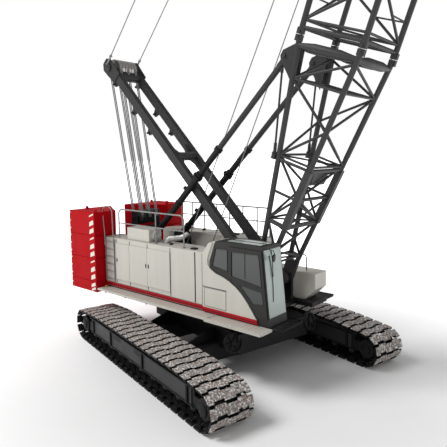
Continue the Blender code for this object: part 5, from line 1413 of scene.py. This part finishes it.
@dataclass
class Winches:
    """The main and boom-hoist winches with their wound rope, and the lower reeving block at the rear."""

    half: float = 0.55
    plate: Outline = ((-3.86, 1.71), (-3.36, 1.71), (-3.44, 3.30), (-3.50, 4.02), (-3.74, 4.02), (-3.80, 3.3))
    sheave: Outline = ((-0.035, 0.24), (-0.03, 0.245), (-0.01, 0.215), (0.01, 0.215), (0.03, 0.245),
                       (0.035, 0.24))

    def winding(self, x: float, z: float, radius: float, rope: float) -> Solids:
        """Return a drum's wound layer: a profile of half rounds, one for each turn of rope."""
        along = np.linspace(-self.half, self.half, int(2 * self.half / rope) * 4)
        bump = radius + rope / 2 * np.abs(np.sin(np.pi * (along + self.half) / rope))
        return Solids().turned(np.stack([along, bump], axis=1), (x, 0.0, z), ACROSS, 40)

    def build(self, kit: Kit) -> None:
        """Build the windings, and the lower block with its sheaves."""
        kit.repaint(kit.palette.steel, "main_winch", "boom_hoist_winch")
        for name, node, drum in (("main_winch_rope", "main_winch", (-1.35, 2.42, 0.36, 0.032)),
                                 ("boom_hoist_rope", "boom_hoist_winch", (-3.36, 2.45, 0.295, 0.028))):
            kit.upper(name, self.winding(*drum), kit.palette.rope, node)
        block, sheaves = Solids(), Solids()
        for y in (-0.50, 0.50):
            block.slab(self.plate, Plane.XZ, y - 0.025, y + 0.025)
        half, levels = np.array([0.56, 0.52, 0.52]), (3.80, 3.40, 2.98)
        block.tubes(row(-3.62, -half, levels), row(-3.62, half, levels), [0.06, 0.05, 0.05], 18)
        block.boxes([[-3.62, 0.0, 3.42]], (0.20, 0.50, 0.03))
        for y in -0.33 + 0.132 * np.arange(6):
            sheaves.turned(self.sheave, (-3.62, y, 3.80), ACROSS, 36)
        kit.upper("reeving_block", block, kit.palette.black, "boom_hoist_winch", bevel=0.008)
        kit.upper("reeving_sheaves", sheaves, kit.palette.steel, "boom_hoist_winch")


@dataclass
class Boom:
    """The lattice boom: three sections of round chords and lacing, with the heavy pieces of the butt."""

    butt: float = 6.90
    insert: float = 9.00
    top: float = 8.10
    seat: float = 0.0003
    depth: float = 0.83
    width: float = 0.86
    foot_width: float = 0.72
    head: float = 0.40
    taper: float = 4.20
    chord: float = 0.07
    lacing: float = 0.034
    chord_inset: float = 0.006
    node_inset: float = 0.34
    frame_inset: float = 0.16
    head_plate: Outline = (
        (-0.55, -0.45), (0.35, -0.58), (0.55, -0.56), (0.61, -0.37), (0.47, -0.22), (0.0, 0.45), (-0.3, 0.45))
    head_lug: Outline = ((-0.60, 0.35), (-0.05, 0.35), (-0.17, 0.75), (-0.33, 0.75))
    butt_nodes: tuple[float, ...] = (1.25, 1.65, 2.40, 3.20, 4.05, 4.95, 5.90, 6.55)
    foot_cap: Outline = ((0.0, 0.12), (0.03, 0.12), (0.04, 0.10), (0.041, 0.01))
    ring: float = 6.66
    ring_shares: tuple[float, ...] = (0.0, 0.10, 0.28, 0.72, 0.90, 1.0)
    ring_radii: tuple[float, ...] = (0.06, 0.075, 0.115, 0.115, 0.075, 0.06)
    guide_beams: tuple[tuple[float, float], ...] = ((2.35, 0.05), (3.15, 0.045), (3.95, 0.05))
    guard_line: float = 0.825
    bracket: Outline = (
        (5.75, 0.70), (6.75, 0.80), (6.66, 0.95), (6.47, 1.22), (6.33, 1.25), (6.22, 1.20), (5.95, 0.90))
    bracket_sides: tuple[tuple[float, float], ...] = ((0.7855, 0.815), (0.535, 0.565))
    bracket_pin: tuple[float, float] = (6.35, 1.13)

    def size(self, x: Points) -> tuple[Points, Points]:
        """Return the half depth and half width between chords: parallel, and tapered at the foot and the head.

        Args:
            x: places along the boom.

        Returns:
            Half depths and half widths.
        """
        foot = np.clip(x / self.butt, 0.0, 1.0)
        end = self.butt + self.insert + self.top + 2 * self.seat
        head = np.clip((x - (end - self.top + self.taper)) / (self.top - self.taper), 0.0, 1.0)
        deep = self.depth * foot + (self.head - self.depth) * head
        wide = self.foot_width + (self.width - self.foot_width) * foot + (self.head - self.width) * head
        return deep, wide

    def corner(self, x: float | Points, index: int | Points) -> Points:
        """Return the centres of chords: 0 back right, 1 back left, 2 front left, 3 front right."""
        x, index = np.asarray(x, float), np.asarray(index) % 4
        deep, wide = self.size(x)
        return row(x, np.where((index == 1) | (index == 2), 1.0, -1.0) * wide,
                   np.where(index < 2, 1.0, -1.0) * deep)

    def lattice(self, solids: Solids, nodes: Points, battens: Sequence[int], face_bars: bool = True) -> None:
        """Add zigzag diagonals between the nodes on the four faces, with battens and sub-bars.

        Args:
            solids: what they are added to.
            nodes: stations of the nodes.
            battens: which nodes carry battens on all four faces.
            face_bars: whether the bays get a short bar from a diagonal's middle to the chord.
        """
        flip, x = np.arange(len(nodes) - 1) % 2, nodes[list(battens)]
        near, far = np.where(flip, nodes[1:], nodes[:-1]), np.where(flip, nodes[:-1], nodes[1:])
        for face in range(4):
            one, two = (face, face + 1) if face % 2 == 0 else (face + 1, face)
            start, end = self.corner(near, one), self.corner(far, two)
            solids.tubes(start, end, self.lacing, 12)
            if face_bars:
                middle = (start + end) / 2
                solids.tubes(middle, self.corner(middle[:, 0], one), self.lacing * 0.62, 8)
            solids.tubes(self.corner(x, face), self.corner(x, face + 1), self.lacing * 0.92, 12)
        solids.tubes(self.corner(x, 0), self.corner(x, 2), self.lacing * 0.7, 10)

    def chords(self, solids: Solids, stations: Sequence[float]) -> None:
        """Add the four chords through stations, with a pinned fork at both ends of the run."""
        for index in range(4):
            points = self.corner(np.array(stations), index)
            solids.tubes(points[:-1], points[1:], self.chord, 20)
            self.fork(solids, points[0], 1)
            self.fork(solids, points[-1], -1)

    def fork(self, solids: Solids, place: Points, inward: int) -> None:
        """Add the fork and the pin at a chord's end."""
        solids.boxes([place + ALONG * inward * 0.075], (0.074, 0.052, 0.088))
        pin = place + ALONG * inward * 0.05
        solids.tubes([pin - ACROSS * 0.10], [pin + ACROSS * 0.10], 0.034, 12)

    def section(self, kit: Kit, name: str, solids: Solids) -> None:
        """Make one section, which stands for its node."""
        kit.shop.piece(f"{name}_lattice", solids, kit.places.boom, kit.palette.steel, "boom", name,
                       replaces=[name])

    def build(self, kit: Kit) -> None:
        """Build the three sections and the pieces of the butt, and dress the sheaves."""
        insert, top = Solids(), Solids()
        start = self.butt + self.seat
        end = start + self.insert
        self.chords(insert, (start + self.chord_inset, end - self.chord_inset))
        self.lattice(insert, np.linspace(start + self.node_inset, end - self.node_inset, 9), range(0, 9, 2))
        self.frame(insert, start + self.frame_inset, 0.05)
        self.frame(insert, end - self.frame_inset, 0.05)
        self.section(kit, "boom_insert", insert)
        low = end + self.seat
        high, bend = low + self.top, low + self.taper
        self.chords(top, (low + self.chord_inset, bend, high - 0.002))
        self.lattice(top, np.linspace(low + self.node_inset, bend, 5), range(0, 5, 2))
        self.lattice(top, np.linspace(bend, high - 0.3, 5), range(1, 5), False)
        self.frame(top, low + self.frame_inset, 0.05)
        self.frame(top, high - 0.10, 0.06)
        for side in (-1, 1):
            for outline, inner, outer in ((self.head_plate, 0.2805, 0.45), (self.head_lug, 0.365, 0.5915)):
                top.slab([(high + x, z) for x, z in outline], Plane.XZ, *span(side, inner, outer))
        self.section(kit, "boom_top", top)
        self.foot(kit)
        kit.repaint(kit.palette.machined, "boom_tip_sheaves")

    def frame(self, solids: Solids, x: float, radius: float) -> None:
        """Add four round battens at a station."""
        index = np.arange(4)
        solids.tubes(self.corner(x, index), self.corner(x, index + 1), radius, 14)

    def foot(self, kit: Kit) -> None:
        """Build the butt: foot plates, lattice, thick ring, guide frame, backstop brackets and guard bars."""
        butt, bars, index = Solids(), Solids(), np.arange(4)
        for chord in range(4):
            points = self.corner(np.array([0.5, self.butt - self.chord_inset]), chord)
            butt.tubes(points[:1], points[1:], self.chord, 20)
            self.fork(butt, points[1], -1)
        edge = self.chord + self.depth * 1.05 / self.butt
        turn = np.linspace(np.pi / 2, 3 * np.pi / 2, 11)
        eye = np.stack([0.15 * np.cos(turn), 0.15 * np.sin(turn)], axis=1)
        outline = np.concatenate([eye, [[1.05, -edge], [1.05, edge]]])
        for side in (-1, 1):
            butt.slab(outline, Plane.XZ, *span(side, 0.66, 0.78))
            butt.turned(self.foot_cap, side * 0.78 * ACROSS, side * ACROSS, 28)
        self.lattice(butt, np.array(self.butt_nodes), (0, 2, 4, 6), False)
        share = np.array(self.ring_shares)[:, None]
        for start, finish in zip(self.corner(self.ring, index), self.corner(self.ring, index + 1)):
            butt.bent(start + (finish - start) * share, self.ring_radii, 20)
        self.guide(butt)
        for side in (-1, 1):
            for inner, outer in self.bracket_sides:
                butt.slab(self.bracket, Plane.XZ, *span(side, inner, outer))
            x, z = self.bracket_pin
            butt.tubes([[x, side * 0.50, z]], [[x, side * 0.86, z]], 0.045, 18)
        self.section(kit, "boom_butt", butt)
        for side in (-1, 1):
            low, high = row((4.25, 5.95), side * self.guard_line, (0.66, 1.06))
            run = (high - low) / np.linalg.norm(high - low)
            bars.tubes([low], [high], 0.026, 12)
            bars.tubes([low - run * 0.22, high], [low + run * 0.05, high + run * 0.12], [0.042, 0.040], 14)
            bars.tubes([low - run * 0.20 - ACROSS * 0.09], [low - run * 0.20 + ACROSS * 0.09], 0.03, 12)
            bars.boxes([low - run * 0.26], (0.09, 0.06, 0.05))
        kit.shop.piece("boom_guard_bars", bars, kit.places.boom, kit.palette.steel, "boom", "boom_butt",
                       bevel=0.004)

    def guide(self, solids: Solids) -> None:
        """Add the boxed-in frame with its cross beams, cross braces and roller between the front chords.

        Args:
            solids: what they are added to.
        """
        for index in (3, 2):
            low, high = self.corner(2.35, index), self.corner(3.95, index)
            length = np.linalg.norm(high - low)
            run = (high - low) / length
            across = ACROSS - run * (run @ ACROSS)
            across /= np.linalg.norm(across)
            axes = np.stack([run, across, np.cross(run, across)], axis=1)[None]
            solids.boxes([(low + high) / 2], (length / 2, 0.078, 0.088), axes)
        for x, radius in self.guide_beams:
            for one, two, share, sides in ((3, 2, 1.0, 14), (3, 0, 0.8, 12), (2, 1, 0.8, 12)):
                solids.tubes([self.corner(x, one)], [self.corner(x, two)], radius * share, sides)
        solids.tubes(self.corner(2.4, np.array([3, 2])), self.corner(3.1, np.array([2, 3])), 0.03, 10)
        solids.boxes([(self.corner(3.75, 3) + self.corner(3.75, 2)) / 2 + UP * 0.12], (0.16, 0.36, 0.05))
        middle = (self.corner(3.55, 3) + self.corner(3.55, 2)) / 2 + UP * 0.16
        solids.tubes([middle - ACROSS * 0.42], [middle + ACROSS * 0.42], 0.07, 18)


@dataclass
class Mast:
    """The live mast's trim: stub brackets, head plates, the spool between the legs, and the lines along them."""

    line: float = 0.47
    stubs: Outline = ((7.20, 0.34), (6.20, 0.24), (8.55, 0.26))
    head: Outline = ((8.55, -0.20), (9.25, -0.26), (9.42, -0.12), (9.42, 0.12), (9.25, 0.26), (8.55, 0.20))
    head_pin: Outline = ((0.0, 0.12), (0.05, 0.12), (0.06, 0.09), (0.065, 0.01))
    spool: Outline = ((-0.40, 0.16), (-0.36, 0.155), (-0.20, 0.132), (0.20, 0.132), (0.36, 0.155),
                      (0.40, 0.16))

    def build(self, kit: Kit) -> None:
        """Build the mast's trim and dress its nodes."""
        kit.repaint(kit.palette.steel, "mast_frame")
        kit.repaint(kit.palette.machined, "mast_head_sheaves")
        trim, lines, mast = Solids(), Solids(), kit.places.mast
        for side in (-1, 1):
            for x, reach in self.stubs:
                tip, pin = 0.13 + reach * 0.7, 0.13 + reach * 0.5
                trim.slab([(x - 0.16, 0.125), (x + 0.16, 0.125), (x + 0.06, tip), (x - 0.06, tip)], Plane.XZ,
                          *span(side, 0.44, 0.50))
                trim.tubes([[x, side * 0.36, pin]], [[x, side * 0.58, pin]], 0.035, 14)
            trim.slab(self.head, Plane.XZ, *span(side, 0.562, 0.590))
            trim.turned(self.head_pin, (9.1, side * 0.59, 0.0), side * ACROSS, 28)
            trim.boxes(row(np.linspace(0.95, 8.3, 8), side * self.line, -0.133), (0.012, 0.093, 0.006))
            trim.boxes(row((4.55, 4.9, 5.25), side * self.line, 0.135), (0.10, 0.088, 0.006))
        trim.turned(self.spool, (4.90, 0.0, 0.0), ACROSS, 36)
        kit.shop.piece("mast_trim", trim, mast, kit.palette.steel, "mast", "mast_frame", bevel=0.005)
        x = np.linspace(0.8, 8.9, 40)
        for side in (-1, 1):
            for offset in (-0.03, 0.03):
                wave = 0.006 * np.sin(x * 3.1 + offset * 90)
                lines.bent(row(x, side * self.line + offset + wave, -0.152), 0.010, 8)
        kit.shop.piece("mast_lines", lines, mast, kit.palette.rubber, "mast", "mast_frame")


@dataclass
class Backstops:
    """The two telescopic backstops with turned barrels, collars and clamps."""

    line: float = 0.68
    barrel: float = 0.1003
    socket: Outline = ((-0.42, 0.0805), (-0.40, 0.092), (-0.20, 0.092), (-0.12, 0.0805))
    collars: tuple[tuple[float, float, float], ...] = (
        (0.16, 0.16, 0.122), (0.42, 0.05, 0.130), (1.75, 0.06, 0.118), (2.86, 0.10, 0.140),
        (3.02, 0.04, 0.125),
        (3.98, 0.115, 0.118))
    clamps: tuple[float, ...] = (1.1, 2.3, 2.90)

    def build(self, kit: Kit) -> None:
        """Build both barrels' collars and clamps, and the sockets on both rods."""
        low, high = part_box("right_backstop_rod")
        place, palette = kit.places.backstop, kit.palette
        head = float(max(place.local(np.array([[low[0], 0, low[2]], [high[0], 0, high[2]]]))[:, 0])) - 0.115
        for label, side in (("right", -1), ("left", 1)):
            line, axis = side * self.line, side * self.line * ACROSS
            barrel, rod = f"{label}_backstop_barrel", f"{label}_backstop_rod"
            collars, tip = Solids(), Solids()
            for start, size, radius in self.collars:
                collars.turned([(start, self.barrel), (start + 0.004, radius), (start + size - 0.004, radius),
                                (start + size, self.barrel)], axis, ALONG, 32)
            for x in self.clamps:
                collars.boxes([[x, line, 0.125]], (0.05, 0.035, 0.05))
                collars.tubes([[x, line - 0.05, 0.155]], [[x, line + 0.05, 0.155]], 0.018, 12)
            kit.shop.piece(
                f"{barrel}_collars", collars, place, palette.black, "backstop_barrels", barrel, bevel=0.003)
            tip.turned([(head + x, radius) for x, radius in self.socket], axis, ALONG, 32)
            kit.shop.piece(f"{rod}_socket", tip, place, palette.steel, "backstop_rods", rod)
            kit.repaint(palette.black, barrel)
            kit.repaint(palette.steel, rod)


@dataclass
class Rigging:
    """The taut ropes: the reeving behind the mast, the two hoist lines, the pendants and the hook's falls."""

    rope: float = 0.019
    lower_block: tuple[float, float, float] = (-3.62, 3.80, 0.228)
    mast_head: tuple[float, float] = (9.10, 0.285)
    reeved: tuple[float, ...] = (-0.345, -0.285, -0.03, 0.03, 0.285, 0.345)
    hoist_drum: tuple[tuple[float, float, float], ...] = ((-1.68, -0.22, 2.62), (-1.02, 0.26, 2.62))
    hoist_head: tuple[tuple[float, float, float], ...] = ((24.35, -0.20, 0.30), (24.35, 0.20, 0.30))
    pendant_line: float = 0.62
    pendant_end: tuple[float, float] = (23.75, 0.68)
    socket: float = 0.42

    def taut(
        self, kit: Kit, name: str, low: Points, high: Points, radius: float, slot: str,
    ) -> bpy.types.Object:
        """Make straight ropes, with points at their ends alone.

        Args:
            kit: what it is built with.
            name: name of the piece.
            low: the ropes' first ends in the world, as rows.
            high: their second ends.
            radius: radius of the ropes.
            slot: handed on to solo, which does not use it.

        Returns:
            The piece.
        """
        ropes, world = Solids(), Placement(np.zeros(3), np.eye(3))
        for start, run in zip(low, high - low):
            ropes.bent([start, start + run], radius, 8)
        return kit.shop.solo(name, ropes, world, kit.palette.rope, slot)

    def build(self, kit: Kit) -> None:
        """Build the ropes and the pendants, and dress the hook."""
        places, upper = kit.places, kit.places.upper
        reach, swing = self.mast_head
        head_x, _, head_z = upper.local(places.mast.world(ALONG * reach))
        block_x, block_z, block_swing = self.lower_block
        across, side = np.repeat(self.reeved, 2), np.tile([-1.0, 1.0], len(self.reeved))
        low = upper.world(row(block_x + side * block_swing, across, block_z))
        high = upper.world(row(head_x + side * swing, across, head_z))
        made = self.taut(kit, "reeving_ropes", low, high, self.rope, "boom_hoist_winch")
        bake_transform(made)
        low, high = upper.world(np.array(self.hoist_drum)), places.boom.world(np.array(self.hoist_head))
        made = self.taut(kit, "hoist_ropes", low, high, self.rope * 0.8, "main_winch")
        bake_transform(made)
        self.pendants(kit)
        kit.repaint(kit.palette.rope, "hoist_falls")
        kit.repaint(kit.palette.black, "hook")
        kit.rounded("hook_block", kit.palette.red, "hook", 0.02)
        low, high = (np.array(corner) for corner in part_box("hook_block"))
        cheeks, middle = Solids(), upper.local((low + high) / 2)
        for sign in (-1, 1):
            cheeks.turned([(0.0, 0.11), (0.02, 0.11), (0.03, 0.08), (0.031, 0.01)],
                          middle + sign * ACROSS * 0.302 + UP * 0.10, sign * ACROSS, 24)
        kit.shop.piece("hook_block_caps", cheeks, upper, kit.palette.steel, "hook", "hook_block")

    def pendants(self, kit: Kit) -> None:
        """Build the two pendants from the mast's head to the boom's head: strands, sockets and pins."""
        boom = kit.places.boom
        eye_x, _, eye_z = boom.local(kit.places.mast.world(ALONG * 9.20))
        for label, sign in (("right", -1), ("left", 1)):
            start, end = row((eye_x, self.pendant_end[0]), sign * self.pendant_line,
                             (eye_z, self.pendant_end[1]))
            length = float(np.linalg.norm(end - start))
            run = (end - start) / length
            strand = Solids().tubes([start + run * 0.35], [end - run * 0.25], 0.017, 12)
            for station in (0.0, length / 3, 2 * length / 3, length - self.socket):
                strand.tubes([start + run * station], [start + run * (station + self.socket)], 0.03, 14)
                for offset in (0.06, 0.36):
                    pin = start + run * (station + offset)
                    strand.tubes([pin - ACROSS * 0.05], [pin + ACROSS * 0.05], 0.026, 12)
            strand.turned([(-0.028, 0.07), (0.028, 0.07)], end, ACROSS, 24)
            name = f"{label}_pendant"
            kit.shop.piece(f"{name}_strand", strand, boom, kit.palette.rope, "boom", name, replaces=[name])


@dataclass
class Studio:
    """The pale floor, the soft light, the white surround and the camera."""

    reach: float = 400.0
    camera_place: tuple[float, float, float] = (9.3853, -8.675, 5.923)
    yaw: float = 143.752
    pitch: float = -6.668
    roll: float = -0.452
    lens: float = 39.86
    shift: tuple[float, float] = (-0.00302, -0.0269)
    soft_light: float = 0.42
    suns: tuple[tuple[str, tuple[float, float, float], float, float], ...] = (
        ("key", (40.0, 0.0, -32.0), 2.1, 24.0), ("fill", (58.0, 0.0, 60.0), 0.12, 60.0))

    def build(self, kit: Kit) -> None:
        """Build the floor, the lights, the surround and the camera."""
        scene, edge = bpy.context.scene, self.reach
        mesh = bpy.data.meshes.new("floor")
        mesh.from_pydata([(-edge, -edge, 0.0), (edge, -edge, 0.0), (edge, edge, 0.0), (-edge, edge, 0.0)], [],
                         [(0, 1, 2, 3)])
        mesh.materials.append(kit.palette.floor)
        floor = bpy.data.objects.new("floor", mesh)
        scene.collection.objects.link(floor)
        world = bpy.data.worlds.new("surround")
        world.use_nodes = True
        sky = Graph(world.node_tree)
        seen = sky.node("LightPath").outputs["Is Camera Ray"]
        soft, plain = (sky.node("Background", {"Color": (1.0, 1.0, 1.0), "Strength": strength}).outputs[0]
                       for strength in (self.soft_light, 1.0))
        both = sky.node("MixShader", {0: seen, 1: soft, 2: plain}).outputs[0]
        sky.node("OutputWorld", {"Surface": both})
        scene.world = world
        scene.view_settings.view_transform = "Standard"
        for name, angles, strength, softness in self.suns:
            light = bpy.data.lights.new(name, "SUN")
            light.energy = strength
            light.angle = math.radians(softness)
            lamp = bpy.data.objects.new(name, light)
            lamp.rotation_euler = [math.radians(angle) for angle in angles]
            scene.collection.objects.link(lamp)
        self.camera(scene)

    def camera(self, scene: bpy.types.Scene) -> None:
        """Set up the camera from its yaw, pitch and roll.

        Args:
            scene: the scene that it looks at.
        """
        yaw, pitch, roll = (math.radians(angle) for angle in (self.yaw, self.pitch, self.roll))
        forward = np.array([math.cos(yaw) * math.cos(pitch), math.sin(yaw) * math.cos(pitch),
                            math.sin(pitch)])
        right = np.cross(forward, UP)
        right /= np.linalg.norm(right)
        up = np.cross(right, forward)
        right, up = right * math.cos(roll) + up * math.sin(roll), up * math.cos(roll) - right * math.sin(roll)
        matrix = Matrix(np.stack([right, up, -forward], axis=1).tolist()).to_4x4()
        matrix.translation = self.camera_place
        data = bpy.data.cameras.new("view")
        data.lens, data.sensor_width = self.lens, 36.0
        data.shift_x, data.shift_y = self.shift
        data.clip_end = 1000.0
        data.dof.use_dof = False
        camera = bpy.data.objects.new("view", data)
        camera.matrix_world = matrix
        scene.collection.objects.link(camera)
        scene.camera = camera


def main() -> None:
    """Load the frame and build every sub-assembly in order."""
    logging.basicConfig(level=logging.INFO, format="%(name)s: %(message)s")
    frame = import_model()
    kit = Kit(Places.from_joints(frame["joints"]), Palette(Effects()), Workshop())
    assemblies = (
        Studio(), Crawler("right", -2.71), Crawler("left", 2.71), Carbody(), House(), Cab(), Ballast(),
        Winches(),
        Boom(), Mast(), Backstops(), Rigging())
    for assembly in assemblies:
        assembly.build(kit)
        LOG.info("%s built", type(assembly).__name__)
    LOG.info("%d pieces", len(kit.shop.made))


if __name__ == "__main__":
    main()
